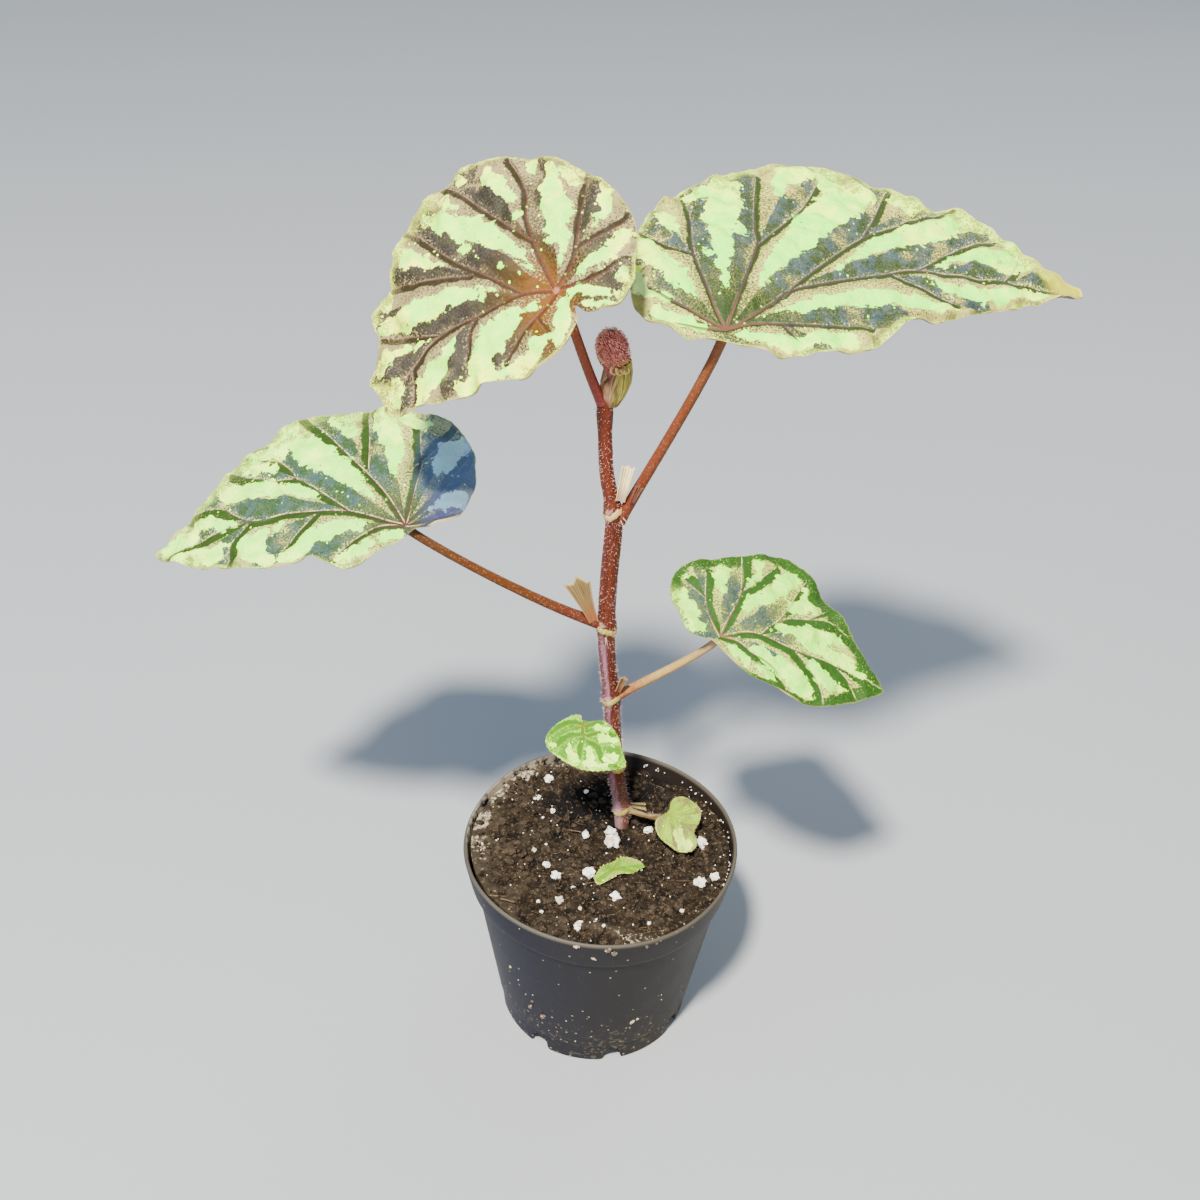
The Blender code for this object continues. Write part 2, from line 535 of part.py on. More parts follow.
def stipule_solid(scale, rng):
    """A scale curled round its length, wider at the head, with a torn edge."""
    foot, head = Vector(scale["foot"]), Vector(scale["head"])
    along = (head - foot).normalized()
    across = along.cross(Vector((0, 1, 0))).normalized()
    out = across.cross(along)
    wide, rows = 6, 4
    tears = [rng.uniform(0, scale["torn"]) for _ in range(wide + 1)]
    points = []
    faces = []
    for side in (0.5, -0.5):
        for row in range(rows + 1):
            t = row / rows
            half = (scale["widths"][0] + (scale["widths"][1] - scale["widths"][0]) * t ** 1.3) / 2
            for k in range(wide + 1):
                s = 2 * k / wide - 1
                length = (head - foot).length * t - tears[k] * t ** 3
                curl = scale["curl"] * (0.4 + 0.6 * t) * (s * s) + 0.25 * math.cos(3 * math.pi * s)
                points.append(foot + along * length + across * half * s
                              - out * curl + out * side * STIPULE_THICKNESS)
    count = (rows + 1) * (wide + 1)
    for row in range(rows):
        for k in range(wide):
            a = row * (wide + 1) + k
            b, c, d = a + 1, a + wide + 2, a + wide + 1
            faces += [(a, b, c), (a, c, d), (count + a, count + c, count + b), (count + a, count + d, count + c)]
    ring = [k for k in range(wide)] + [row * (wide + 1) + wide for row in range(rows)]
    ring += [rows * (wide + 1) + k for k in range(wide, 0, -1)] + [row * (wide + 1) for row in range(rows, 0, -1)]
    for a, b in zip(ring, ring[1:] + ring[:1]):
        faces += [(a, count + a, count + b), (a, count + b, b)]
    return points, faces


def make_stipules(stem_cutter):
    colours = {
        "leaf1_stipule": (0.30, 0.22, 0.12), "leaf3_stipule": (0.40, 0.22, 0.14), "leaf4_stipule": (0.55, 0.40, 0.20),
        "leaf5_stipule": (0.70, 0.60, 0.48), "leaf5_bract": (0.35, 0.12, 0.07)}
    rng = random.Random(5)
    stalk_cutters = {}
    for name, scale in STIPULES.items():
        points, faces = stipule_solid(scale, rng)
        obj = new_object(name, points, faces, material(name, colours[name], 0.7))
        leaf = name.split("_")[0]
        if leaf not in stalk_cutters:
            stalk_cutters[leaf] = as_cutter(new_object(leaf + "_cutter", *petiole_solid(leaf, GAP), None))
        cut(obj, stem_cutter)
        cut(obj, stalk_cutters[leaf])


def make_tip(stem_cutter):
    """The ribbed sheath is an open cone; the young leaf stands in it on a short stalk."""
    foot, head = Vector(TIP_FOOT), Vector(TIP_HEAD)
    sides, rows = 24, 5
    outer = []
    inner = []
    for row in range(rows + 1):
        t = row / rows
        radius = TIP_RADII[0] + (TIP_RADII[1] - TIP_RADII[0]) * math.sin(t * math.pi / 2)
        for rings, wall in ((outer, 0.0), (inner, TIP_WALL)):
            ring = []
            for k in range(sides):
                a = 2 * math.pi * k / sides
                rib = TIP_RIB_HEIGHT * math.cos(TIP_RIBS * a) * t
                lip = TIP_LIP * t ** 4 * math.cos(a - 0.6)
                ring.append(foot + (head - foot) * t + Vector((
                    (radius + rib - wall) * math.cos(a), (radius + rib - wall) * math.sin(a), lip)))
            rings.append(ring)
    rings = outer + inner[:0:-1]
    points, faces = ring_solid(rings, foot, foot + (head - foot) * 0.12)
    sheath = new_object("tip_sheath", points, faces, material("tip_sheath", (0.36, 0.34, 0.10), 0.5))
    cut(sheath, stem_cutter)
    cut(sheath, as_cutter(new_object("leaf6_cutter", *petiole_solid("leaf6", GAP), None)))
    rings = []
    for row, (x, y, z, radius) in enumerate(YOUNG_RINGS):
        ring = []
        for k in range(18):
            a = 2 * math.pi * k / 18
            crumple = 1 + YOUNG_CRUMPLE * min(1, row / 4) * math.sin(5 * a + 2.2 * row)
            ring.append(Vector((x + radius * crumple * math.cos(a), y + radius * crumple * math.sin(a), z)))
        rings.append(ring)
    points, faces = ring_solid(rings)
    new_object("young_leaf", points, faces, material("young_leaf", (0.36, 0.08, 0.07), 0.7))


def main():
    clear_scene()
    make_pot()
    stem_cutter = make_stem()
    make_soil(stem_cutter)
    make_leaves(stem_cutter)
    make_stipules(stem_cutter)
    make_tip(stem_cutter)


main()
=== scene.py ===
import json
import math
import random

import bmesh
import bpy
import numpy as np
from mathutils import Euler, Matrix, Vector, noise


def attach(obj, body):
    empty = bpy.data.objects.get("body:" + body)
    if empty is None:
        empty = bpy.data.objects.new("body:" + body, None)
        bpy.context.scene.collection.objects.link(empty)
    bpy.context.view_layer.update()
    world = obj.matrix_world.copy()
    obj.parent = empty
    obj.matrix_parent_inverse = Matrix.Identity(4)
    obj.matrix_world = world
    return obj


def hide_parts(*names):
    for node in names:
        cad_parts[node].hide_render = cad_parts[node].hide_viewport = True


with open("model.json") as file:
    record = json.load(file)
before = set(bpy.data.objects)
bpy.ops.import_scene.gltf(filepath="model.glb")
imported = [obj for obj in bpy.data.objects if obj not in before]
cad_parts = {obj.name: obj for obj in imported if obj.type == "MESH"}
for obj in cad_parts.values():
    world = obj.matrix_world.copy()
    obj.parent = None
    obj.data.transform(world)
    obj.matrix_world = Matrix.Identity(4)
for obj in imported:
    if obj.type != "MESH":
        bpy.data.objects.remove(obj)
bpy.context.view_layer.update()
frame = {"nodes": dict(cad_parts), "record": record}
nodes = frame["nodes"]
mm = 0.001


# small helpers for selecting and finishing pieces

def only(piece):
    bpy.ops.object.select_all(action="DESELECT")
    piece.select_set(True)
    bpy.context.view_layer.objects.active = piece


def applyStep(piece, kind, **settings):
    only(piece)
    step = piece.modifiers.new(kind.lower(), kind)
    for name, value in settings.items():
        setattr(step, name, value)
    bpy.ops.object.modifier_apply(modifier=step.name)


def closeUp(piece, near=1e-6, turnOut=True):
    only(piece)
    bpy.ops.object.mode_set(mode="EDIT")
    bpy.ops.mesh.select_all(action="SELECT")
    bpy.ops.mesh.remove_doubles(threshold=near)
    if turnOut:
        bpy.ops.mesh.normals_make_consistent(inside=False)
    bpy.ops.object.mode_set(mode="OBJECT")


def mark(piece, name, values):
    layer = piece.data.attributes.new(name, "FLOAT", "POINT")
    layer.data.foreach_set("value", np.asarray(values, dtype=np.float32))


# a grid is added and every point of it is put in place by a rule: across and along run 0 to 1
def rolledGrid(name, columns, rows, place, turnOut=True):
    bpy.ops.object.select_all(action="DESELECT")
    bpy.ops.mesh.primitive_grid_add(x_subdivisions=columns, y_subdivisions=rows, size=2)
    piece = bpy.context.object
    piece.name = name
    piece.data.name = name
    while piece.data.uv_layers:
        piece.data.uv_layers.remove(piece.data.uv_layers[0])
    flat = np.empty(len(piece.data.vertices) * 3, dtype=np.float32)
    piece.data.vertices.foreach_get("co", flat)
    across = np.clip((flat[0::3].astype(float) + 1) / 2, 0, 1)
    along = np.clip((flat[1::3].astype(float) + 1) / 2, 0, 1)
    across = np.round(across * columns) / columns
    along = np.round(along * rows) / rows
    points, marks = place(across, along)
    piece.data.vertices.foreach_set("co", (points * mm).astype(np.float32).ravel())
    for label, values in marks.items():
        mark(piece, label, values)
    piece.data.update()
    closeUp(piece, turnOut=turnOut)
    return piece


def smoothPiece(piece, angle=40):
    only(piece)
    bpy.ops.object.shade_smooth_by_angle(angle=math.radians(angle))


def dress(piece, material, slot, *cadNodes):
    if material is not None:
        piece.data.materials.clear()
        piece.data.materials.append(material)
    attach(piece, "root")
    if cadNodes:
        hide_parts(*cadNodes)


# a mesh of many little loose shapes, given as lists of points and faces
def scatterMesh(name, shapes):
    mesh = bpy.data.meshes.new(name)
    points = []
    faces = []
    for shapePoints, shapeFaces in shapes:
        start = len(points)
        points += [tuple(c * mm for c in point) for point in shapePoints]
        faces += [tuple(start + i for i in face) for face in shapeFaces]
    mesh.from_pydata(points, [], faces)
    mesh.update()
    piece = bpy.data.objects.new(name, mesh)
    bpy.context.scene.collection.objects.link(piece)
    return piece


# shader maths: a socket that takes + - * / and adds the Math nodes

class Wire:
    def __init__(self, paint, socket):
        self.paint = paint
        self.socket = socket

    def maths(self, operation, *others, clamp=False):
        values = {i: value for i, value in enumerate((self,) + others)}
        return self.paint.add("Math", {"operation": operation, "use_clamp": clamp}, values)

    def __add__(self, other):
        return self.maths("ADD", other)

    def __radd__(self, other):
        return self.maths("ADD", other)

    def __sub__(self, other):
        return self.maths("SUBTRACT", other)

    def __rsub__(self, other):
        return self.paint.add("Math", {"operation": "SUBTRACT"}, {0: other, 1: self})

    def __mul__(self, other):
        return self.maths("MULTIPLY", other)

    def __rmul__(self, other):
        return self.maths("MULTIPLY", other)

    def __truediv__(self, other):
        return self.maths("DIVIDE", other)

    def away(self):
        return self.maths("ABSOLUTE")

    def most(self, other):
        return self.maths("MAXIMUM", other)

    def least(self, other):
        return self.maths("MINIMUM", other)


class Paint:
    def __init__(self, name, roughness=0.5):
        self.material = bpy.data.materials.new(name)
        self.material.use_nodes = True
        self.tree = self.material.node_tree
        self.shader = self.tree.nodes["Principled BSDF"]
        self.shader.inputs["Roughness"].default_value = roughness

    # adds a node: its settings go in first, then values or wires into its sockets
    def add(self, kind, settings=None, inputs=None, output=0):
        node = self.tree.nodes.new("ShaderNode" + kind)
        for name, value in (settings or {}).items():
            if name == "stops":
                while len(node.color_ramp.elements) > 1:
                    node.color_ramp.elements.remove(node.color_ramp.elements[-1])
                for i, (position, colour) in enumerate(value):
                    stop = node.color_ramp.elements[0] if i == 0 else node.color_ramp.elements.new(position)
                    stop.position = position
                    stop.color = (*colour, 1)
            else:
                setattr(node, name, value)
        for name, value in (inputs or {}).items():
            if isinstance(value, Wire):
                self.tree.links.new(value.socket, node.inputs[name])
            elif isinstance(value, tuple) and len(value) == 3 and node.inputs[name].type == "RGBA":
                node.inputs[name].default_value = (*value, 1)
            else:
                node.inputs[name].default_value = value
        return Wire(self, node.outputs[output])

    def place(self):
        return self.add("TexCoord", output="Object")

    def value(self, name):
        return self.add("Attribute", {"attribute_name": name}, output="Fac")

    def sized(self, vector, scale):
        return self.add("Mapping", {}, {"Vector": vector, "Scale": scale})

    def noise(self, vector, scale, detail=3.0, rough=0.5, distortion=0.0):
        return self.add("TexNoise", {}, {"Vector": vector, "Scale": scale, "Detail": detail,
                                         "Roughness": rough, "Distortion": distortion})

    def cells(self, vector, scale, feature="F1", output="Distance"):
        return self.add("TexVoronoi", {"feature": feature}, {"Vector": vector, "Scale": scale}, output)

    # a number that differs from cell to cell
    def cellNumber(self, vector, scale, feature="F1"):
        return self.add("SeparateColor", {}, {0: self.cells(vector, scale, feature, "Color")})

    # the first few of x, y and z, in metres
    def axes(self, vector, count):
        return [self.add("SeparateXYZ", {}, {0: vector}, k) for k in range(count)]

    # rises softly from 0 to 1 between low and high
    def step(self, value, low, high):
        return self.add("MapRange", {"interpolation_type": "SMOOTHSTEP"},
                        {"Value": value, "From Min": low, "From Max": high})

    def blend(self, factor, first, second, mode="MIX"):
        return self.add("Mix", {"data_type": "RGBA", "blend_type": mode, "clamp_factor": True},
                        {0: factor, 6: first, 7: second}, 2)

    def finish(self, colour=None, roughness=None, bumps=(), **constants):
        if colour is not None:
            self.tree.links.new(colour.socket, self.shader.inputs["Base Color"])
        if roughness is not None:
            self.tree.links.new(roughness.socket, self.shader.inputs["Roughness"])
        normal = None
        for height, strength, distance in bumps:
            inputs = {"Height": height, "Strength": strength, "Distance": distance * mm}
            if normal is not None:
                inputs["Normal"] = normal
            normal = self.add("Bump", {}, inputs)
        if normal is not None:
            self.tree.links.new(normal.socket, self.shader.inputs["Normal"])
        for name, value in constants.items():
            self.shader.inputs[name.replace("_", " ")].default_value = value
        return self.material


def toned(colour, by):
    return tuple(by * c for c in colour)


# the camera, where the photo's was; places in millimetres

camera = {
    "place": (-4.78, -408.23, 501.86),
    "right": (0.99886, 0.02844, 0.03841),
    "up": (-0.04779, 0.59444, 0.80272),
    "lens": 45,
    "sensor": 36,
    "nearest": 0.01,
}

eye = bpy.data.cameras.new("camera")
eye.lens = camera["lens"]
eye.sensor_width = camera["sensor"]
eye.clip_start = camera["nearest"]
eyeObject = bpy.data.objects.new("camera", eye)
bpy.context.scene.collection.objects.link(eyeObject)
right = Vector(camera["right"]).normalized()
up = Vector(camera["up"]).normalized()
back = right.cross(up).normalized()
turn = Matrix((right, up, back)).transposed().to_4x4()
eyeObject.matrix_world = Matrix.Translation(Vector(camera["place"]) * mm) @ turn
bpy.context.scene.camera = eyeObject
print("camera placed")


# the leaves
# Sizes are millimetres. Each blade lies in its own plane: u runs from the petiole to the tip,
# v to its left. The outline, veins and silver patches are given there; a patch is a line of
# (u, v, half width). bends, dimple and waves shape the blade out of that plane.

leaves = {
    "leaf1": dict(
        at=(26, 11.3, 89.3), turn=(4, 15, -64), bends=(110, 25, 70), dimple=(0.5, 4),
        waves=(0.5, 5), spokes=120, rings=36, puff=0.25, rib=0.14, teeth=0.25, calm=[1],
        outline=[(-0.5, -2), (-2, 1.1), (-5, 3.5), (-5.2, 8.4), (-2, 11.5), (2.4, 12.4), (7, 10),
                 (10.3, 6), (15, 5), (17.4, 2), (16, -3), (13, -5.3), (9, -7.3), (4.2, -7.6), (1.2, -6)],
        veins=[[(0, 0), (1, 4), (1, 9)], [(0, 0), (7, 0), (16, -1)], [(0, 0), (4, 4), (6, 8)],
               [(0, 0), (5, -4), (9, -6)], [(0, 0), (-3, 6)]],
        patches=[[(9, -1, 2.5), (14, 0, 3)]]),
    "leaf2": dict(
        at=(-8.8, 6.3, 137.1), turn=(28.6, 20.4, -39.2), bends=(74, 25, 56), dimple=(0.8, 4),
        waves=(0.5, 7), spokes=160, rings=44, puff=0.5, rib=0.17, teeth=0.3, calm=[1],
        outline=[(-1.6, 1.2), (-4.3, 1.4), (-6.4, -2.4), (-7.4, -7), (-7, -12), (-5, -14.2), (-1, -15),
                 (6.8, -13.4), (12.2, -11), (17.8, -5.5), (21.4, 0.6), (16.4, 3.8), (12.8, 6), (8.5, 7),
                 (4, 6.3), (1, 3.4)],
        veins=[[(0, 0), (4, -3), (6, -6), (10, -11)], [(0, 0), (-3, -2), (-5, -6), (-6, -12)],
               [(3, -2), (0, -7), (-1, -13)], [(4, -3), (9, -1), (13, -2), (19, -1)],
               [(3, -2), (6, 3), (9, 6)], [(0, 0), (2, 4), (3, 6)]],
        patches=[[(-2, -12, 1.5), (-3, -13, 1)], [(2, -7, 1), (3, -10, 2), (7, -11, 2.5)],
                 [(9, -5, 2), (12, -8, 2.5), (16, -5, 1.5)], [(9, 2, 2), (12, 4, 1.5)],
                 [(13, -4, 1.5), (17, 0, 1.5)], [(4, 4, 1.5), (7, 5, 1.5)], [(9, 0, 1)]]),
    "leaf3": dict(
        at=(38.1, 9.6, 178.8), turn=(26.2, 16.8, -3.3), bends=(275, 60, 190), dimple=(2.5, 9),
        waves=(1.0, 9), spokes=260, rings=70, puff=1.2, rib=0.21, teeth=0.4, calm=[1],
        outline=[(-3, -2), (-8, -3), (-13, -1), (-18, 5), (-20.5, 11), (-21, 18), (-18, 24), (-8, 30),
                 (3, 35), (14, 40), (23, 40), (31, 35), (42, 25), (54, 13.5), (60.2, 7), (64.6, 2.4),
                 (60.4, -1.4), (54, -6), (46, -11), (38, -13.4), (29, -13), (18, -12), (9, -9), (2, -5)],
        veins=[[(0, 0), (8, 4), (15, 5), (25, 4), (43, 4), (63, 3)],
               [(28, 3), (34, -1), (38, -5), (41, -11)],
               [(14, 5), (18, 11), (23, 15), (31, 18), (39, 20), (46, 18)],
               [(19, 12), (22, 18), (27, 32)], [(0, 0), (1, 5), (4, 19), (2, 33)],
               [(4, 19), (8, 24), (14, 33)], [(0, 0), (-7, 9), (-10, 22)], [(-9, 13), (-17, 18)],
               [(0, 0), (6, 0), (12, -3), (17, -4), (23, -7), (27, -12)], [(43, 4), (50, 0), (54, -4)],
               [(31, 18), (36, 23)]],
        patches=[[(-17, 12, 3), (-14, 5, 4), (-10, 1, 3), (-6, 0, 1.5)], [(-17, 20, 2)],
                 [(-3, 16, 1), (-4, 22, 3.5), (-4, 29, 2.5)], [(7, 25, 2), (9, 29, 2), (8, 35, 2.5)],
                 [(5, 12, 1), (9, 17, 3.5), (15, 23, 4), (21, 31, 4), (23, 38, 3.5)],
                 [(24, 20, 2.5), (30, 24, 4), (29, 29, 3)],
                 [(19, 10, 1.5), (25, 11, 2.5), (33, 12, 3.5), (46, 15, 2.5)],
                 [(29, 8, 2), (37, 8, 3), (46, 7, 3.5), (55, 6, 3.5), (61, 3, 1.5)],
                 [(35, 1, 2), (40, -2, 3.5), (43, -4, 3)], [(48, -4, 3)],
                 [(11, -1, 2), (18, -3, 3), (24, -5, 4), (31, -8, 4.5), (35, -10, 3)],
                 [(6, -3, 2), (10, -6, 2.5)], [(17, -8, 2), (21, -11, 2)], [(-8, 25, 1)]]),
    "leaf4": dict(
        at=(-70.8, 6.5, 221.6), turn=(-25.2, 12.7, 178.1), bends=(495, 72, 250), dimple=(3.0, 10),
        waves=(1.2, 11), spokes=340, rings=84, puff=1.5, rib=0.25, teeth=0.4, calm=[-1],
        outline=[(-4, 1.5), (1, 5), (7, 10), (14, 14), (22, 13.5), (30, 9), (37, 9.5), (47, 9), (62, 7),
                 (79, 2), (92, -4), (88, -11), (79, -17), (74, -26), (70, -33), (63, -37), (55, -44),
                 (49, -51), (35, -53), (20, -52), (8, -51), (-5, -47), (-15, -40), (-22, -29), (-24, -18),
                 (-22, -9), (-17, -1), (-10, 2)],
        veins=[[(0, 0), (6, -2), (19, -7), (30, -9), (42, -10), (56, -10), (68, -17), (79, -17)],
               [(56, -10), (62, -2), (63, 6)], [(19, -7), (34, -20), (40, -24), (49, -26), (64, -32)],
               [(40, -24), (44, -30), (55, -40)], [(56, -10), (66, -9), (78, -5), (91, -3)],
               [(30, -9), (36, -3), (43, 6)], [(0, 0), (8, -14), (24, -34), (32, -44), (40, -53)],
               [(14, -24), (15, -36), (16, -50)], [(0, 0), (-3, -13), (-5, -23), (-4, -30), (-3, -43)],
               [(-4, -24), (-10, -29), (-17, -37)], [(0, 0), (-6, -4), (-12, -10), (-20, -25)],
               [(0, 0), (-8, 0), (-17, -4)], [(0, 0), (8, 0), (14, 3), (24, 10)]],
        patches=[[(-11, -16, 1), (-13, -23, 4), (-15, -28, 4.5), (-19, -31, 3)],
                 [(-10, -5, 1.5), (-14, -7, 3), (-20, -8, 2.5)],
                 [(3, -17, 1), (4, -26, 3.5), (6, -36, 5), (10, -46, 5)],
                 [(20, -40, 2), (25, -46, 4), (29, -50, 3)],
                 [(11, -12, 1), (16, -18, 3), (24, -26, 5), (33, -33, 6), (43, -43, 5), (50, -49, 3)],
                 [(37, -40, 1.5), (44, -49, 2)], [(49, -40, 5), (57, -38, 3)],
                 [(60, -34, 2.5), (50, -31, 2)],
                 [(31, -16, 1.5), (42, -20, 3), (54, -23, 4.5), (65, -24, 5), (72, -29, 2.5)],
                 [(63, -10, 2), (71, -12, 2.5), (77, -12, 2)], [(79, -8, 4), (86, -6, 4.5)],
                 [(45, -5, 2.5)], [(50, -3, 3.5), (55, 2, 5), (48, 7, 3)],
                 [(15, -1, 2), (23, -1, 3.5), (31, 1, 3.5), (36, 5, 3.5), (41, 8, 3)],
                 [(2, 3, 2.5), (6, 5, 3)], [(12, 8, 3.5), (18, 10, 3), (22, 11, 1.5)],
                 [(83, 0, 3), (70, 2, 3.5), (65, -1, 2)], [(1, -44, 4), (-6, -40, 2.5)]]),
    "leaf5": dict(
        at=(29.3, 5.2, 299), turn=(23.4, 0.9, 19.9), bends=(880, 52, 300), dimple=(3.0, 12),
        waves=(1.3, 13, 8), spokes=400, rings=96, puff=1.7, rib=0.38, teeth=0.4,
        calm=[1, 1, 1, 1, 1, 1, 1, -1, -1, -1, 1, 1, -1, 1],
        outline=[(-1, -4), (-8, -2.5), (-15, 0), (-21, 7), (-24, 18), (-21, 31), (-13, 46), (-2, 57),
                 (14, 65), (32, 71), (50, 73), (68, 68), (80, 59), (87, 55), (92, 48), (103, 45),
                 (111, 36), (118, 24), (126, 14), (132.5, 5), (122, 2.8), (102, -0.3), (90, -2),
                 (78, -3.2), (62, -4), (50, -10), (40, -14), (24, -13), (12, -13), (4, -8)],
        veins=[[(0, 0), (17, 7), (27, 12), (59, 16), (72, 17), (88, 14), (103, 11), (118, 8), (132, 5)],
               [(72, 17), (85, 23), (96, 28), (110, 31)], [(63, 15), (71, 9), (80, 2)],
               [(22, 9), (31, 16), (59, 33), (70, 37), (87, 43), (98, 46)],
               [(59, 33), (68, 43), (78, 56)], [(0, 0), (9, 14), (21, 32), (24, 42), (34, 67)],
               [(21, 32), (28, 37), (45, 50), (57, 65)], [(0, 0), (-1, 11), (-1, 30), (3, 46), (6, 59)],
               [(-1, 30), (-10, 38), (-14, 46)], [(0, 0), (-8, 8), (-14, 15), (-21, 26)],
               [(0, 0), (8, 1), (17, -1), (28, -3), (46, -6)], [(18, -2), (21, -9)],
               [(0, 0), (-8, 2), (-17, 6)], [(103, 11), (110, 17), (115, 22)]],
        patches=[[(-7, 1, 2), (-14, 5, 3.5), (-19, 10, 2.5)],
                 [(-14, 14, 1.5), (-19, 18, 2.5), (-21, 22, 3), (-20, 28, 2)],
                 [(-6, 13, 1), (-9, 19, 3), (-11, 26, 4), (-13, 33, 4), (-14, 38, 3.5)],
                 [(-4, 40, 1), (-4, 46, 3), (-6, 49, 2)], [(4, 15, 1.5), (5, 19, 2)],
                 [(6, 24, 2.5), (9, 32, 4), (12, 44, 5.5), (17, 53, 6), (21, 62, 6)], [(4, 30, 2.5)],
                 [(17, 39, 3.5)], [(12, 59, 3.5), (7, 57, 2.5)],
                 [(37, 55, 2), (41, 62, 3), (47, 67, 5), (52, 67, 4)], [(60, 60, 6), (61, 69, 3.5)],
                 [(16, 15, 1), (21, 21, 2.5), (28, 27, 4), (37, 34, 5.5), (45, 41, 7), (56, 49, 7.5),
                  (68, 55, 5.5)], [(61, 43, 2)], [(83, 50, 6), (88, 48, 3)],
                 [(44, 19, 1), (55, 25, 2.5), (66, 30, 4), (77, 33, 5), (87, 35, 5), (97, 39, 5),
                  (105, 39, 5)], [(79, 29, 2)],
                 [(81, 19, 1), (88, 21, 2), (97, 23, 3), (106, 21, 5), (114, 20, 4.5)],
                 [(115, 26, 5), (110, 33, 2)],
                 [(17, 4, 0.5), (25, 4, 2.5), (33, 5, 3), (52, 6, 4), (66, 3, 3.5), (78, -1, 2)],
                 [(76, 12, 1.5), (81, 8, 3), (89, 5, 3.5), (98, 4, 3.5), (109, 6, 3), (116, 5, 2)],
                 [(5, -2, 2), (12, -6, 2.5), (17, -10, 3), (25, -9, 3.5), (36, -10, 4)], [(90, 1, 1.5)]]),
    "leaf6": dict(
        at=(-21.7, -2.3, 312.8), turn=(-33.9, 34.9, -167.7), bends=(250, 89, 280), dimple=(3.5, 11),
        waves=(1.2, 12), spokes=360, rings=88, puff=2.1, rib=0.27, teeth=0.4, calm=[-1],
        outline=[(-3, 9), (0, 14), (8, 18), (20, 18), (30, 13.5), (40, 11), (52, 5), (60, 2), (65, -1),
                 (64, -8), (65, -13), (61, -18), (56, -22), (55, -29), (53.5, -33), (47, -36), (42, -41),
                 (38, -47), (30, -51), (20, -54), (10, -55), (-2, -52), (-14, -43), (-21, -35),
                 (-27, -26), (-30, -14), (-29, -3), (-24, 7), (-18, 14), (-10, 15), (-5, 13)],
        veins=[[(0, 0), (9, -5), (23, -7), (37, -10), (50, -7), (64, -4)], [(50, -7), (56, 3)],
               [(9, -5), (13, -12), (23, -29), (29, -44), (32, -50)], [(20, -20), (27, -25), (44, -36)],
               [(37, -10), (49, -19), (56, -24)], [(25, -7), (29, -4), (35, 5)],
               [(0, 0), (-1, -13), (-3, -25), (-7, -34), (-7, -47)],
               [(-1, -18), (3, -27), (11, -47), (15, -55)], [(0, 0), (-9, -5), (-15, -13), (-27, -30)],
               [(-11, -7), (-23, -7), (-29, -8)], [(0, 0), (-12, 4), (-22, 5)],
               [(0, 0), (3, 2), (14, 6), (25, 12)], [(9, 4), (8, 11)]],
        patches=[[(-10, 8, 1.5), (-14, 12, 2), (-16, 13, 1.5)], [(-19, 9, 2.5)],
                 [(-9, 0, 1.5), (-14, 0, 2.5), (-20, 0, 3), (-25, -2, 3)],
                 [(-19, -10, 0.5), (-22, -12, 1.5), (-26, -15, 3), (-28, -19, 3)],
                 [(-5, -6, 0.5), (-9, -10, 1.5), (-9, -14, 3.5), (-12, -21, 5), (-14, -28, 3.5),
                  (-16, -34, 2)], [(-21, -31, 2.5), (-21, -27, 2)], [(-1, -27, 1.5)],
                 [(-2, -33, 2), (-1, -40, 3.5), (1, -46, 3)], [(-13, -41, 3)],
                 [(10, -54, 1.5), (8, -50, 2)],
                 [(3, -9, 1), (3, -13, 2), (6, -21, 3), (10, -30, 4.5), (18, -39, 4), (24, -47, 2.5)],
                 [(17, -28, 2.5)], [(10, -15, 2)], [(17, -50, 2.5), (15, -44, 2)],
                 [(26, -29, 1), (31, -35, 2), (35, -39, 4), (37, -43, 2.5)],
                 [(16, -11, 1), (22, -14, 2.5), (28, -18, 3.5), (36, -20, 4), (44, -21, 4), (53, -25, 2)],
                 [(48, -32, 3)], [(42, -11, 1), (48, -14, 1.5), (54, -15, 2.5), (59, -14, 3.5)],
                 [(34, -5, 1.5), (39, -2, 2.5), (43, -1, 4), (49, 0, 4), (52, 3, 3)],
                 [(6, 0, 1), (13, 0, 2.5), (19, 1, 4.5), (25, 3, 5.5), (31, 6, 4)],
                 [(9, 11, 1.5), (12, 13, 3), (16, 15, 3), (22, 15, 2.5), (29, 12, 2.5), (39, 9, 3)],
                 [(0, 5, 2.5), (2, 10, 3.5), (6, 15, 2.5)], [(-3, 3, 1.4), (-7, 5, 2.2), (-9, 9, 1.4)],
                 [(-6, 11, 1.4), (-9, 13, 1.6), (-13, 14.5, 1.2)], [(57, -6, 3), (61, -3, 3)]]),
}
# the fine form of every blade, in millimetres
bladeForm = {
    "thickness": 0.7,
    "puffReach": 3.2,       # how far from a vein a field takes to puff up
    "foldSize": 6.5,
    "marginFold": 1.3,      # height of the folds at the margin, as a share of the puff
    "flatFoot": 60,         # where the petiole joins, the blade is flat: that place's radius, squared
    "toothSpokes": 4,       # one tooth of the margin takes so many spokes
    "toothBegins": 0.985,   # how far out the teeth begin
}


def smoothStep(before, start, end, after, t):
    # the point at share t of the way from start to end, on a smooth curve through all four
    return 0.5 * (2 * start + (end - before) * t + (2 * before - 5 * start + 4 * end - after) * t * t
                  + (3 * start - before - 3 * end + after) * t ** 3)


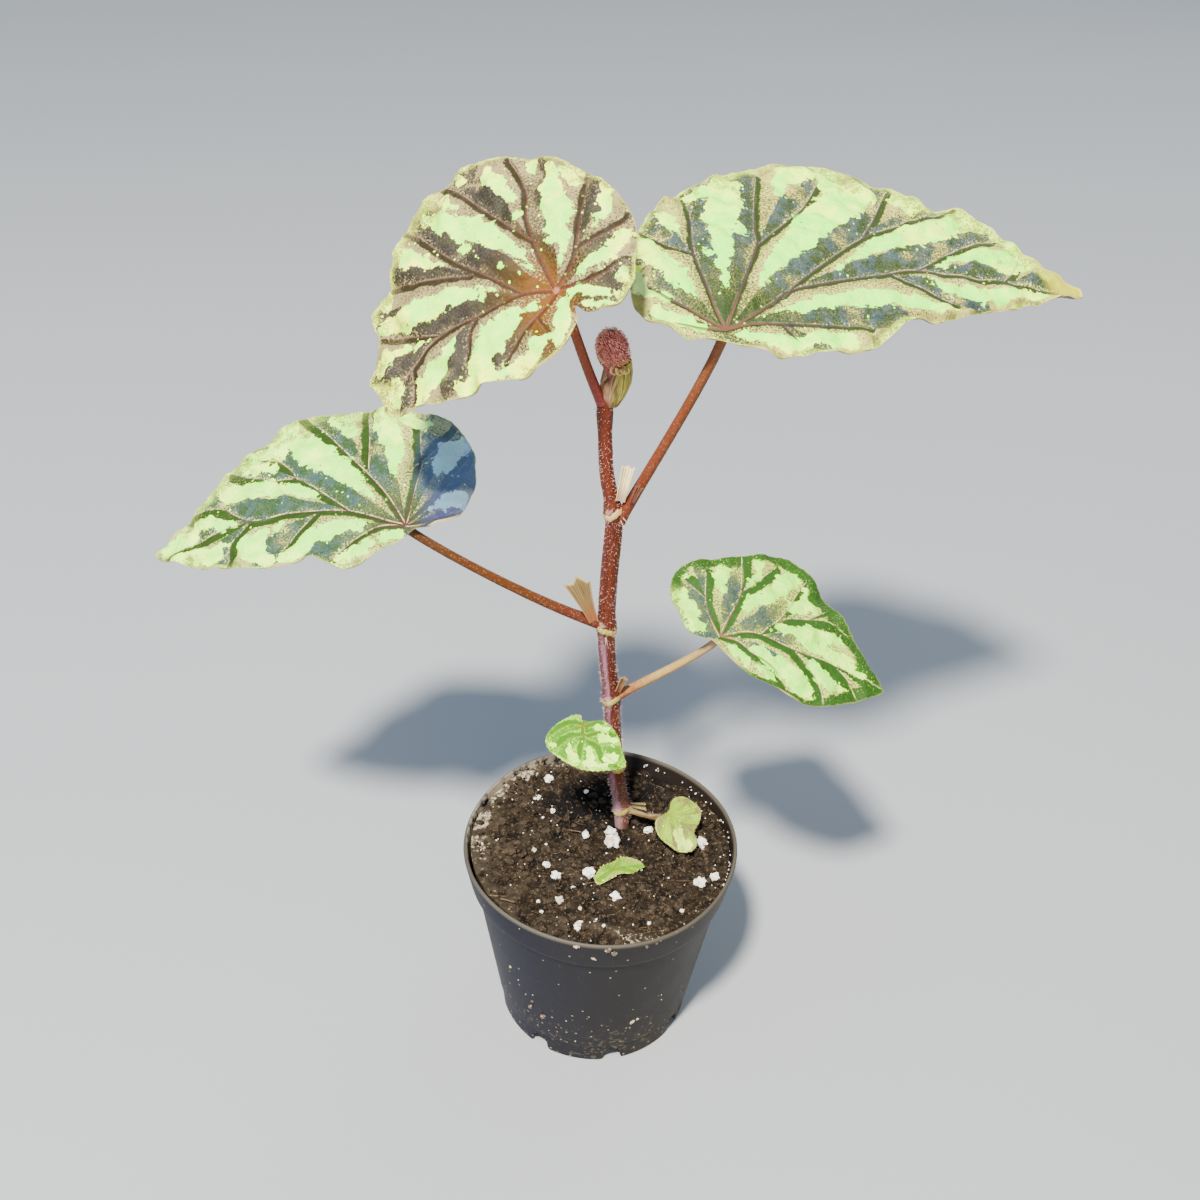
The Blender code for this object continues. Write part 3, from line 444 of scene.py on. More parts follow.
def curveThrough(points, total, steps=24):
    # a smooth closed line through the outline's points, spread evenly by length
    count = len(points)
    line = []
    for i in range(count):
        four = [np.array(points[(i + k) % count], float) for k in (-1, 0, 1, 2)]
        line += [smoothStep(*four, s / steps) for s in range(steps)]
    line = np.array(line)
    ahead = np.roll(line, -1, axis=0)
    if (line[:, 0] * ahead[:, 1] - ahead[:, 0] * line[:, 1]).sum() < 0:
        line = line[::-1]
    line = np.vstack([line, line[:1]])
    lengths = np.concatenate([[0], np.cumsum(np.linalg.norm(np.diff(line, axis=0), axis=1))])
    places = np.linspace(0, lengths[-1], total + 1)
    return np.stack([np.interp(places, lengths, line[:, k]) for k in (0, 1)], axis=1)


def courseThrough(points, steps):
    # an open smooth curve through the points
    line = []
    last = len(points) - 1
    for i in range(last):
        four = [np.array(points[min(max(i + k, 0), last)], float) for k in (-1, 0, 1, 2)]
        line += [smoothStep(*four, s / steps) for s in range(steps)]
    line.append(np.array(points[-1], float))
    return np.array(line)


# plain and signed distance to the nearest vein (above 0 on its calm side), how far out that is,
# and its share of that vein, which is negative on a branch
def nearVein(u, v, veins, calm):
    best = np.full(len(u), 1e9)
    signed = np.zeros(len(u))
    span = np.zeros(len(u))
    ending = np.zeros(len(u))
    for n, vein in enumerate(veins):
        calmSide = calm[n % len(calm)]
        branch = 1 if vein[0] == (0, 0) else -1
        vein = courseThrough(vein, 5)
        total = sum(math.dist(a, b) for a, b in zip(vein, vein[1:]))
        run = 0
        for (u1, v1), (u2, v2) in zip(vein, vein[1:]):
            du, dv = u2 - u1, v2 - v1
            length = math.hypot(du, dv)
            t = np.clip(((u - u1) * du + (v - v1) * dv) / length ** 2, 0, 1)
            away = np.hypot(u - u1 - t * du, v - v1 - t * dv)
            side = (du * (v - v1) - dv * (u - u1)) / length * calmSide
            closer = away < best
            best = np.where(closer, away, best)
            signed = np.where(closer, np.where(side < 0, -away, away), signed)
            span = np.where(closer, np.hypot(u1 + t * du, v1 + t * dv), span)
            ending = np.where(closer, branch * np.maximum((run + t * length) / total, 1e-6), ending)
            run += length
    return best, signed, span, ending


def insidePatch(u, v, patches):
    best = np.full(len(u), -30.0)
    for patch in patches:
        steps = list(zip(patch, patch[1:])) or [(patch[0], patch[0])]
        for (u1, v1, w1), (u2, v2, w2) in steps:
            du, dv = u2 - u1, v2 - v1
            t = np.clip(((u - u1) * du + (v - v1) * dv) / max(du * du + dv * dv, 1e-6), 0, 1)
            best = np.maximum(best, w1 + (w2 - w1) * t - np.hypot(u - u1 - t * du, v - v1 - t * dv))
    return best


def bladeLift(leaf, u, v, share, around):
    tipBend, backBend, sideBend = leaf["bends"]
    rise, spread = leaf["dimple"]
    wave, count, *calmAbove = leaf["waves"]
    lift = -u * u / (2 * np.where(u > 0, tipBend, backBend)) - v * v / (2 * sideBend)
    lift = lift + rise * (1 - np.exp(-(u * u + v * v) / spread ** 2))
    if calmAbove:
        wave = wave * (0.15 + 0.85 / (1 + np.exp((v - calmAbove[0]) / 4)))
    return lift + wave * share ** 3 * np.sin(2 * math.pi * count * around)


# seen from the petiole the outline may never turn back, or the blade would fold over itself
def openedOut(edge):
    angles = np.unwrap(np.arctan2(edge[:, 1], edge[:, 0]))
    reach = np.hypot(edge[:, 0], edge[:, 1])
    first, last = angles[0], angles[0] + 2 * math.pi
    rising = np.maximum.accumulate(angles)
    falling = np.minimum.accumulate(angles[::-1])[::-1]
    steady = np.clip((rising + falling) / 2, first, last)
    steady = steady * 0.99 + np.linspace(first, last, len(angles)) * 0.01
    return np.stack([reach * np.cos(steady), reach * np.sin(steady)], axis=1)


def leafTurn(leaf):
    return np.array(Euler([math.radians(a) for a in leaf["turn"]]).to_matrix())


def makeBlade(name, leaf, paints):
    edge = openedOut(curveThrough(leaf["outline"], leaf["spokes"]))
    turned = leafTurn(leaf)
    size = np.linalg.norm(edge, axis=1).max()

    def place(across, along):
        k = np.round(across * leaf["spokes"]).astype(int)
        share = along ** 0.8
        comb = 0.5 + 0.5 * np.cos(k * 2 * math.pi / bladeForm["toothSpokes"])
        tooth = 1 - leaf["teeth"] / size * comb * (share > bladeForm["toothBegins"])
        u, v = edge[k, 0] * share * tooth, edge[k, 1] * share * tooth
        away, signed, span, ending = nearVein(u, v, leaf["veins"], leaf["calm"])
        # a rib runs out towards its end, and a branch is thinner than a main vein
        rib = leaf["rib"] * (1 - 0.75 * np.clip(span / size, 0, 1)) * (1 - ending ** 4) - 0.25 * ending ** 12
        rib = rib * np.where(ending < 0, 0.72, 1)
        lift = bladeLift(leaf, u, v, share, across) + 0.4
        # the fields between the veins are puffed up, unevenly, and less so at the margin
        fade = 1 - 0.5 * share ** 6
        puffed = leaf["puff"] * (1 - np.exp(-(away / bladeForm["puffReach"]) ** 2)) * fade
        folds = np.array([noise.noise(Vector((a, b, 5.0)) / bladeForm["foldSize"]) for a, b in zip(u, v)])
        lift = lift + leaf["puff"] * bladeForm["marginFold"] * share ** 3 * folds
        fromFoot = 1 - np.exp(-(u * u + v * v) / bladeForm["flatFoot"])
        lift = lift + (puffed * (0.75 + 0.9 * folds) - leaf["puff"] * 0.5) * fromFoot
        # the veins lie in shallow grooves
        lift = lift - (0.15 + 0.3 * rib) * np.exp(-(away / (np.abs(rib) + 0.3)) ** 2) * fromFoot
        flat = np.stack([u, v, lift], axis=1)
        points = flat @ turned.T + np.array(leaf["at"])
        marks = {"vein": signed, "away": away, "rib": rib, "span": span / size, "reach": share,
                 "u": u / 10, "v": v / 10, "silver": insidePatch(u, v, leaf["patches"])}
        return points, marks

    blade = rolledGrid(name + "_blade_fine", leaf["spokes"], leaf["rings"], place, turnOut=False)
    normal = Vector(turned[:, 2])
    blade.data.update()
    total = sum((polygon.normal * polygon.area for polygon in blade.data.polygons), Vector())
    if total.dot(normal) < 0:
        blade.data.flip_normals()
    for paint in paints:
        blade.data.materials.append(paint)
    applyStep(blade, "SOLIDIFY", thickness=bladeForm["thickness"] * mm, offset=-1, use_rim=True,
              material_offset=1, material_offset_rim=2, use_even_offset=False)
    smoothPiece(blade, 60)
    return blade


# tones of the blades' undersides and thin margins
underTones = {
    "green": (0.16, 0.20, 0.05),
    "red": (0.17, 0.085, 0.06),
    "vein": (0.26, 0.07, 0.04),
    "scrap": (0.18, 0.26, 0.04),
    "scrapVein": (0.3, 0.4, 0.15),
    "rim": ((0.50, 0.42, 0.12), (0.26, 0.18, 0.05)),
}


# the blade's own plane, in centimetres
def leafPlane(paint):
    return paint.add("CombineXYZ", {}, {"X": paint.value("u"), "Y": paint.value("v")})


# what each leaf's colours are: deep beside the veins, cool on their calm side, tan in a net on the other
# side; this split by side is partly painted light: painted sky reflection in the cool tones, painted shade in
# the deep band, painted glare in the tan net; line is the colour of the painted highlight along the veins
leafLooks = {
    "leaf1": dict(coolReach=(0.3, 0.9), band=1.5, glowReach=(0.0, 0.2), deep=(0.16, 0.27, 0.006),
                  coolAndSkyReflection=(0.21, 0.34, 0.012), tanNetAndGlare=(0.16, 0.17, 0.035), silver=(0.34, 0.54, 0.050),
                  cream=(0.46, 0.62, 0.08), fleck=(0.13, 0.10, 0.035), glow=(0.13, 0.18, 0.008),
                  edge=(0.20, 0.16, 0.03), veinNear=(0.17, 0.16, 0.02), veinMid=(0.19, 0.23, 0.012),
                  veinFar=(0.19, 0.24, 0.015), line=(0.3, 0.36, 0.03)),
    "leaf2": dict(coolReach=(0.3, 0.9), band=2.0, glowReach=(0.0, 0.2), deep=(0.034, 0.125, 0.0006),
                  coolAndSkyReflection=(0.050, 0.160, 0.001), tanNetAndGlare=(0.11, 0.26, 0.004), silver=(0.38, 0.72, 0.035),
                  cream=(0.60, 0.92, 0.10), fleck=(0.22, 0.46, 0.012), glow=(0.04, 0.13, 0.002),
                  edge=(0.36, 0.50, 0.04), veinNear=(0.24, 0.045, 0.008), veinMid=(0.10, 0.09, 0.006),
                  veinFar=(0.07, 0.20, 0.004), line=(0.16, 0.34, 0.008)),
    "leaf3": dict(coolReach=(-0.2, 0.40), band=3.3, glowReach=(-0.1, 0.1), deep=(0.0175, 0.056, 0.0050),
                  coolAndSkyReflection=(0.0248, 0.049, 0.0438), coolTwoAndSkyReflection=(0.060, 0.072, 0.036),
                  tanNetAndGlare=(0.105, 0.115, 0.028), silver=(0.26, 0.74, 0.030), cream=(0.52, 0.86, 0.060),
                  fleck=(0.40, 0.46, 0.075), glow=(0.034, 0.062, 0.040), edge=(0.20, 0.24, 0.04),
                  veinNear=(0.17, 0.070, 0.022), veinMid=(0.060, 0.036, 0.014),
                  veinFar=(0.085, 0.070, 0.020), line=(0.55, 0.46, 0.19),
                  rimTone=(0.0175, 0.056, 0.0050)),
    "leaf4": dict(coolReach=(0.16, 0.90), band=2.6, glowReach=(0.0, 0.2), deep=(0.0173, 0.0385, 0.0038),
                  coolAndSkyReflection=(0.0249, 0.0552, 0.0483), coolTwoAndSkyReflection=(0.018, 0.0442, 0.0150),
                  tanNetAndGlare=(0.066, 0.074, 0.022), silver=(0.28, 0.82, 0.050), cream=(0.60, 0.92, 0.080),
                  fleck=(0.38, 0.39, 0.095), glow=(0.030, 0.030, 0.020), edge=(0.34, 0.30, 0.07),
                  veinNear=(0.060, 0.012, 0.010), veinMid=(0.032, 0.012, 0.009),
                  veinFar=(0.055, 0.032, 0.012), line=(0.52, 0.42, 0.20), paintedShade=(0.090, 0.140, 0.235),
                  paintedShadePale=(0.24, 0.38, 0.68), paintedShadeLit=(0.026, 0.028, 0.066),
                  paintedShadeLitPale=(0.050, 0.080, 0.190)),
    "leaf5": dict(coolReach=(0.16, 0.96), band=1.7, glowReach=(0.06, 0.26), deep=(0.0195, 0.0335, 0.0050),
                  coolAndSkyReflection=(0.0298, 0.0504, 0.0522), coolTwoAndSkyReflection=(0.0195, 0.0341, 0.0119),
                  tanNetAndGlare=(0.075, 0.072, 0.024), silver=(0.25, 0.93, 0.030), cream=(0.66, 0.95, 0.045),
                  fleck=(0.44, 0.40, 0.090), glow=(0.0195, 0.0341, 0.0090), edge=(0.60, 0.50, 0.10),
                  veinNear=(0.115, 0.040, 0.026), veinMid=(0.044, 0.022, 0.025),
                  veinFar=(0.070, 0.044, 0.028), line=(0.42, 0.34, 0.20), veinHighlightReach=(0.25, 0.75),
                  tip=(0.33, 0.30, 0.010), tipReach=(11.7, 12.5), paintedLightLobe=(0.30, 0.29, 0.10),
                  paintedLightLobePale=(0.72, 0.95, 0.34)),
    "leaf6": dict(deep=(0.0200, 0.0155, 0.0055), coolAndSkyReflection=(0.0208, 0.0174, 0.0142),
                  coolTwoAndSkyReflection=(0.030, 0.026, 0.017), tanNetAndGlare=(0.0797, 0.0573, 0.0281),
                  silver=(0.33, 0.90, 0.040), cream=(0.80, 0.95, 0.050), fleck=(0.27, 0.21, 0.085),
                  glow=(0.110, 0.0370, 0.0009), edge=(0.40, 0.36, 0.07), glowFar=(0.0474, 0.0259, 0.0035),
                  glowReach=(0.16, 0.50), coolReach=(0.22, 0.98), band=1.4, line=(0.22, 0.12, 0.07),
                  veinHighlightReach=(0.3, 0.8), knot=(0.27, 0.115, 0.060), veinNear=(0.110, 0.0100, 0.0060),
                  veinMid=(0.060, 0.0160, 0.0120), veinFar=(0.077, 0.037, 0.023)),
}


def bladePaint(name, look):
    paint = Paint(name + "_upper", 0.5)
    plane = leafPlane(paint)
    vein, away, rib = paint.value("vein"), paint.value("away"), paint.value("rib")
    span, reach, silver = paint.value("span"), paint.value("reach"), paint.value("silver")
    grain, soft = paint.noise(plane, 15, 4, 0.62), paint.noise(plane, 0.55, 2)
    blotch = paint.noise(plane, 2.4, 3, 0.55)

    # the ground: cool and smooth on the calm side of a vein, partly painted sky reflection; a deep band,
    # partly painted shade, and then a tan net, partly painted glare, on the other
    calm = paint.step(vein + (soft - 0.5) * 3, -0.5, 0.5)
    outward = span + (soft - 0.5) * 0.25
    coolNear, coolFar = look["coolReach"]
    beyond = paint.step(outward, coolNear - 0.08, coolNear + 0.08)
    coolReflectionArea = beyond * (1 - paint.step(outward, coolFar - 0.08, coolFar + 0.08))
    coolReflectionArea = coolReflectionArea * paint.step(soft + (blotch - 0.5) * 0.4, 0.34, 0.46)
    coolTwoAndSkyReflection = look.get("coolTwoAndSkyReflection", look["coolAndSkyReflection"])
    coolAndSkyReflection = paint.blend(paint.step(blotch * 0.7 + soft * 0.3, 0.47, 0.56), look["coolAndSkyReflection"], coolTwoAndSkyReflection)
    calmColour = paint.blend(coolReflectionArea, paint.blend(beyond, look["deep"], look["tanNetAndGlare"]), coolAndSkyReflection)
    tanNetAndGlare = paint.step(away - look["band"] * (0.5 + span * 1.1) + (blotch - 0.5) * 2.4, -0.3, 0.3)
    band = (1 - calm) * (1 - tanNetAndGlare)
    colour = paint.blend(calm, paint.blend(tanNetAndGlare, look["deep"], look["tanNetAndGlare"]), calmColour)
    # a fine net everywhere but in the bands, and little of it in the cool areas
    lacy = (1 - band) * (1 - coolReflectionArea * calm * 0.75)
    mesh = paint.step(paint.cells(plane, 9, "DISTANCE_TO_EDGE") + (grain - 0.5) * 0.1, 0.02, 0.10)
    colour = paint.blend((1 - mesh) * lacy * 0.35, colour, look["fleck"])
    colour = paint.blend(paint.step(grain, 0.50, 0.40) * lacy * 0.50, colour, toned(look["deep"], 0.7))
    glow = 1 - paint.step(span + 0.22 * (blotch - 0.5) + 0.05 * (1 - calm) + 0.012 * away, *look["glowReach"])
    glow = glow * (0.2 + 0.8 * paint.step(paint.value("u"), -0.7, 0.1))
    glowFar = look.get("glowFar", look["glow"])
    glowColour = paint.blend(paint.step(span + 0.15 * (soft - 0.5), 0.06, 0.30), look["glow"], glowFar)
    colour = paint.blend(glow * 0.92, colour, glowColour)

    # pale flecks, thick in the net, towards the margin and beside the patches, like frost along the veins
    outer = paint.step(reach, 0.70, 1.0)
    beside = paint.step(silver, -3.0, -0.2)
    net = (tanNetAndGlare * (1 - calm)).most(beyond * calm * (1 - coolReflectionArea))
    frost = coolReflectionArea * calm
    nearSide = 1 - paint.step(away + (blotch - 0.5) * 2, 0.6, 2.6)
    flecks = grain + 0.10 * net + 0.09 * outer + 0.05 * beside - 0.07 * glow - 0.03 * calm - 0.12 * band
    flecks = flecks - frost * 0.05 + frost * nearSide * 0.10
    colour = paint.blend(paint.step(flecks, 0.585, 0.635) * 0.85, colour, look["fleck"])
    pale = paint.step(reach + (grain - 0.5) * 0.22 + (soft - 0.5) * 0.30, 0.95, 1.0)
    colour = paint.blend(pale * 0.7 * (1 - band * 0.85), colour, look["cream"])

    # silver patches with lobed edges, mottled mint and cream
    small, large = paint.cellNumber(plane, 6.5), paint.cellNumber(plane, 3.6, "SMOOTH_F1")
    depth = silver + (small - 0.5) * 1.0 + (large - 0.5) * 2.4 + (blotch - 0.5) * 3.4 + (grain - 0.5) * 1.6
    patch = paint.step(depth, 0.10, 0.45)
    creamy = paint.step(reach * 0.45 + paint.noise(plane, 1.1, 3, 0.6), 0.74, 0.98)
    silverColour = paint.blend(creamy, look["silver"], look["cream"])
    tint = paint.step(paint.noise(plane, 3.2, 3, 0.6), 0.46, 0.62)
    silverColour = paint.blend(tint * 0.3, silverColour, look["cream"])
    silverColour = paint.blend(paint.step(grain, 0.30, 0.44), toned(look["silver"], 0.70), silverColour)
    chosen = paint.cellNumber(plane, 4.5)
    dot = paint.step(0.20 - paint.cells(plane, 4.5, "F1") + (grain - 0.5) * 0.2, 0.0, 0.05)
    patch = patch.most(dot * paint.step(chosen, 0.70, 0.74) * paint.step(silver, -6, -3))
    colour = paint.blend(patch * 0.98, colour, silverColour)
    # the net runs over the patches at the margin
    overRim = paint.step(reach + (soft - 0.5) * 0.5 + (blotch - 0.5) * 0.3, 0.84, 1.0)
    ragged = paint.step(grain * 0.7 + blotch * 0.3 + overRim * 0.09, 0.56, 0.60)
    colour = paint.blend(ragged * overRim * 0.75, colour, look.get("rimTone", look["tanNetAndGlare"]))
    if "rimTone" in look:
        rimBand = paint.step(reach + (soft - 0.5) * 0.30 + (blotch - 0.5) * 0.24, 0.86, 0.90)
        turned = paint.step(paint.value("u"), 0.6, 1.6).most(paint.step(paint.value("v"), 0.9, 1.7))
        rimBand = rimBand * turned * paint.step(grain, 0.66, 0.58)
        colour = paint.blend(rimBand, colour, look["rimTone"])
    pit = dot * (1 - paint.step(chosen, 0.05, 0.08)) * patch
    colour = paint.blend(pit * 0.7, colour, look["deep"])

    # veins: a painted highlight as a pale line on the calm side, a painted shadow as a deep line on the other
    near = 1 - paint.step(away, 1.6, 2.2)
    lineEdge = vein - rib
    deepEdge = 0 - vein - rib
    broken = paint.step(grain * 0.6 + blotch * 0.6, 0.50, 0.66)
    paintedVeinHighlight = paint.step(lineEdge, -0.05, 0.12) * (1 - paint.step(lineEdge, 0.25, 0.55)) * near
    highlightAlongVein = 0.2 + 0.8 * paint.step(span, *look.get("veinHighlightReach", (-0.2, -0.1)))
    colour = paint.blend(paintedVeinHighlight * broken * highlightAlongVein * 0.8, colour, look["line"])
    paintedVeinShadow = paint.step(deepEdge, -0.05, 0.12) * (1 - paint.step(deepEdge, 0.35, 0.9)) * near
    colour = paint.blend(paintedVeinShadow * 0.75 * paint.step(rib, 0.02, 0.2), colour, toned(look["deep"], 0.8))
    onVein = (1 - paint.step(vein.away() - rib, -0.10, 0.12)) * near
    veinColour = paint.blend(paint.step(span, 0.02, 0.16), look["veinNear"], look["veinMid"])
    veinColour = paint.blend(paint.step(span, 0.35, 0.8), veinColour, look["veinFar"])
    colour = paint.blend(onVein * 0.9, colour, veinColour)

    # what only some leaves have: a painted shadow on the back of leaf4, painted light on the back of leaf5, a
    # knot at the petiole, a dry tip
    if "paintedShade" in look:
        # painted shade: blue shadow tones over the back of the blade, darker where the lamp lights its lower
        # part
        shaded = 1 - paint.step(paint.value("u") + (soft - 0.5) * 0.6, -1.1, -0.1)
        lit = paint.step(paint.value("v") + (soft - 0.5) * 0.4, -1.35, -0.75)
        ground = paint.blend(lit, look["paintedShade"], look["paintedShadeLit"])
        pales = paint.blend(lit, look["paintedShadePale"], look["paintedShadeLitPale"])
        shaded = shaded * (0.45 + 0.55 * paint.step(paint.value("v") + (soft - 0.5) * 1.2, -3.8, -3.1))
        colour = paint.blend(shaded * (0.76 + lit * 0.16), colour, paint.blend(patch, ground, pales))
    if "paintedLightLobePale" in look:
        # painted light: paler, greyer tones on the back of the blade where leaf6's shadow falls
        u, v = paint.value("u"), paint.value("v")
        paintedLightLobe = 1 - paint.step(u * 0.964 - v * 0.265 + (soft - 0.5) * 0.2, -2.42, -2.28)
        paintedLightLobe = paintedLightLobe * (1 - paint.step(v + u * 0.3, 2.15, 2.35))
        colour = paint.blend(paintedLightLobe * 0.8, colour, paint.blend(patch, look["paintedLightLobe"], look["paintedLightLobePale"]))
    if "knot" in look:
        colour = paint.blend((1 - paint.step(span * 84 + away, 1.0, 2.0)) * 0.8, colour, look["knot"])
    if "tip" in look:
        atTip = paint.step(paint.value("u") + (grain - 0.5) * 0.8, *look["tipReach"])
        colour = paint.blend(atTip * 0.92, colour, look["tip"])

    # the thin margin
    edge = paint.step(reach, 0.988, 0.998)
    colour = paint.blend(edge * 0.5, colour, look["edge"])
    quilt = paint.noise(plane, 2.2, 2, 0.5)
    bumps = ((mesh + grain * 0.6, 0.35, 0.3), (quilt, 0.6, 2.2))
    return paint.finish(colour, 0.46 + 0.2 * grain, bumps=bumps, Specular_IOR_Level=0.10)


def underPaint(name, tone, veinTone):
    paint = Paint(name + "_under", 0.55)
    plane = leafPlane(paint)
    vein, away, rib = paint.value("vein"), paint.value("away"), paint.value("rib")
    mottled = paint.noise(plane, 1.4, 4)
    colour = paint.blend(paint.step(mottled, 0.35, 0.65), tone, toned(tone, 0.72))
    onVein = (1 - paint.step(vein.away() - rib, -0.1, 0.4)) * (1 - paint.step(away, 1.6, 2.2))
    colour = paint.blend(onVein, colour, veinTone)
    cells = paint.cells(plane, 9, "DISTANCE_TO_EDGE")
    return paint.finish(colour, None, bumps=((cells.least(0.12), 0.4, 0.4), (0 - onVein, 0.4, 0.5)))


def rimPaint(name):
    paint = Paint(name + "_rim", 0.55)
    colour = paint.blend(paint.noise(paint.place(), 400, 2), *underTones["rim"])
    return paint.finish(colour)


slots = {node["node"]: node["material_slot"] for node in frame["record"]["subparts"]}
for name, leaf in leaves.items():
    under = underTones["green" if name in ("leaf1", "leaf2") else "red"]
    paints = [bladePaint(name, leafLooks[name]), underPaint(name, under, underTones["vein"]), rimPaint(name)]
    blade = makeBlade(name, leaf, paints)
    dress(blade, None, slots[name + "_blade"], name + "_blade")
    print(name, "blade made,", len(blade.data.polygons), "faces")


# tubes for the stem and the stalks

def spreadLine(line, total):
    lengths = np.concatenate([[0], np.cumsum(np.linalg.norm(np.diff(line, axis=0), axis=1))])
    places = np.linspace(0, lengths[-1], total + 1)
    return np.stack([np.interp(places, lengths, line[:, k]) for k in range(3)], axis=1)


def lineFrames(line):
    ahead = np.gradient(line, axis=0)
    ahead /= np.linalg.norm(ahead, axis=1)[:, None]
    side = np.zeros_like(line)
    current = np.array([1.0, 0, 0])
    for i in range(len(line)):
        current = current - ahead[i] * current.dot(ahead[i])
        current /= np.linalg.norm(current)
        side[i] = current
    return side, np.cross(ahead, side)


# a round closed tube on a line; relief gives extra radius and marks from the row's point and the angle
def makeTube(name, line, radii, around, relief=None):
    rows = len(line) - 1
    side, other = lineFrames(line)
    caps = np.ones(rows + 1)
    caps[0] = caps[-1] = 0

    def place(across, along):
        i = np.round(along * rows).astype(int)
        angle = 2 * math.pi * across
        extra, marks = relief(line[i], angle, along) if relief else (0, {})
        reach = (radii[i] + extra) * caps[i]
        sideways, outward = (reach * np.cos(angle))[:, None], (reach * np.sin(angle))[:, None]
        return line[i] + side[i] * sideways + other[i] * outward, marks

    piece = rolledGrid(name, around, rows, place)
    smoothPiece(piece, 50)
    return piece


def noiseAt(x, y, z, scale, seed=0.0):
    return np.array([noise.noise(Vector((a / scale, b / scale, c / scale + seed)))
                     for a, b, c in zip(x, y, z)])


hairCorners = (0, 2.094, 4.189)  # three, a third of a turn apart, in radians


# little hairs: a thin cone bent sideways by curl, in radians
def hair(foot, way, length, width, curl=0.0, steps=1, bendSide=None):
    way = Vector(way).normalized()
    side = Vector(bendSide).normalized() if bendSide is not None else way.orthogonal().normalized()
    place = Vector(foot)
    points = []
    for i in range(steps):
        cross = way.cross(side).normalized()
        size = width * (1 - 0.75 * i / steps)
        points += [place + (side * math.cos(a) + cross * math.sin(a)) * size for a in hairCorners]
        place = place + way * (length / steps)
        way.rotate(Matrix.Rotation(curl / steps, 3, side))
    points.append(place)
    faces = [(2, 1, 0)]
    for i in range(steps - 1):
        faces += [(i * 3 + k, i * 3 + (k + 1) % 3, i * 3 + 3 + (k + 1) % 3, i * 3 + 3 + k) for k in range(3)]
    last = 3 * (steps - 1)
    faces += [(last + k, last + (k + 1) % 3, last + 3) for k in range(3)]
    return points, faces


# the stem

stem = {
    "line": [(10.3, 15.9, 60), (8.2, 15.9, 77), (7.7, 15.8, 88), (4.6, 15.7, 105), (2.6, 15.7, 125),
             (1.2, 15.6, 144), (-1.1, 15.5, 162), (-2.1, 15.5, 177), (-2.1, 15.5, 197), (-1.3, 15.5, 219),
             (-2.3, 15.4, 228.5), (-4.7, 15.4, 241.5), (-5.8, 15.3, 256.5), (-6.3, 15.3, 267.5),
             (-6.4, 15.3, 268.6)],
    "rows": 420,
    "around": 40,
    "radius": ([36, 77, 105, 144, 177, 215, 232, 256, 263, 268, 270],  # heights, and the radius at each
               [2.6, 2.9, 3.1, 3.0, 3.1, 3.1, 2.5, 2.3, 2.75, 2.5, 1.5]),
    # height of each node and the side of its leaf: +1 right, -1 left
    "nodes": [(88, 1), (111, -1), (144.5, 1), (177, -1), (226, 1)],
    "nodeSwelling": 0.6,
    "nodeSpread": 3.2,
    "scarHeight": 0.4,
    "scarHalfWidth": 1.65,
    "scarTilt": 0.5,
    "bristles": 2600,
    "bristleRows": (40, 415),
    "bristleLength": (0.6, 1.3),
    "bristleWidth": 0.075,
    "bareBelow": 82,
    # loose fibres at the upper scars: x, z, how far each leans sideways
    "looseFibres": [(0.9, 224.0, 0.45), (1.6, 225.2, 0.9), (-2.3, 174.2, 0.02), (-1.9, 174.0, 0.12)],
    "fibreFront": 12.2,
    "seed": 21,
    "skin": ((0.044, 0.0072, 0.0026), (0.092, 0.0155, 0.0042)),
    "purpleAndHighlight": (0.080, 0.0225, 0.029),
    "footTonesAndHighlight": ((0.120, 0.052, 0.036), (0.30, 0.19, 0.17)),
    "upper": (0.105, 0.0165, 0.0060),
    "paintedHighlight": (0.30, 0.135, 0.185),
    "dots": (0.30, 0.12, 0.08),
    "bloom": (0.42, 0.26, 0.24),
    "scars": ((0.28, 0.22, 0.04), (0.48, 0.40, 0.11)),
    "upperScars": (0.50, 0.33, 0.12),
    "scarSpecks": (0.20, 0.10, 0.03),
    "bristleTones": ((0.70, 0.52, 0.44), (0.30, 0.13, 0.09)),
}


def stemRadius(z):
    return np.interp(z, *stem["radius"])


def stemRelief(point, angle, along):
    z = point[:, 2]
    relief = np.zeros(len(z))
    scar = np.zeros(len(z))
    bloom = np.zeros(len(z))
    for height, leafSide in stem["nodes"]:
        relief += stem["nodeSwelling"] * np.exp(-((z - height) / stem["nodeSpread"]) ** 2)
        middle = height - 0.6 + leafSide * stem["scarTilt"] * stemRadius(height) * np.cos(angle)
        middle = middle + 0.30 * np.sin(4 * angle + height) + 0.14 * np.sin(11 * angle + height)
        # a scar is widest at the front, away from the leaf, and runs out towards the back
        front = np.clip(0.55 - 0.75 * np.sin(angle + 0.45 * leafSide), 0, 1)
        off = (z - middle) / (stem["scarHalfWidth"] * (0.35 + 0.65 * front))
        scar = np.maximum(scar, (1 - np.abs(off)) * front)
        relief += stem["scarHeight"] * np.clip(1.6 - 1.6 * np.abs(off), 0, 1) ** 0.7 * front
        above = (z - middle - 2.3) / 1.2
        leftOf = ((angle + 2.05 + math.pi) % (2 * math.pi) - math.pi) / 0.75
        bloom = np.maximum(bloom, 1 - above ** 2 - leftOf ** 2)
    relief += 0.05 * np.sin(17 * angle + 3 * np.sin(z / 9))
    relief += 0.12 * noiseAt(point[:, 0] + 3 * np.cos(angle), point[:, 1] + 3 * np.sin(angle), z / 3, 2.0)
    return relief, {"scar": scar, "bloom": bloom, "height": z / 100, "sideways": np.cos(angle)}


stemLine = spreadLine(courseThrough(stem["line"], 16), stem["rows"])
stemPiece = makeTube("stem_fine", stemLine, stemRadius(stemLine[:, 2]), stem["around"], stemRelief)


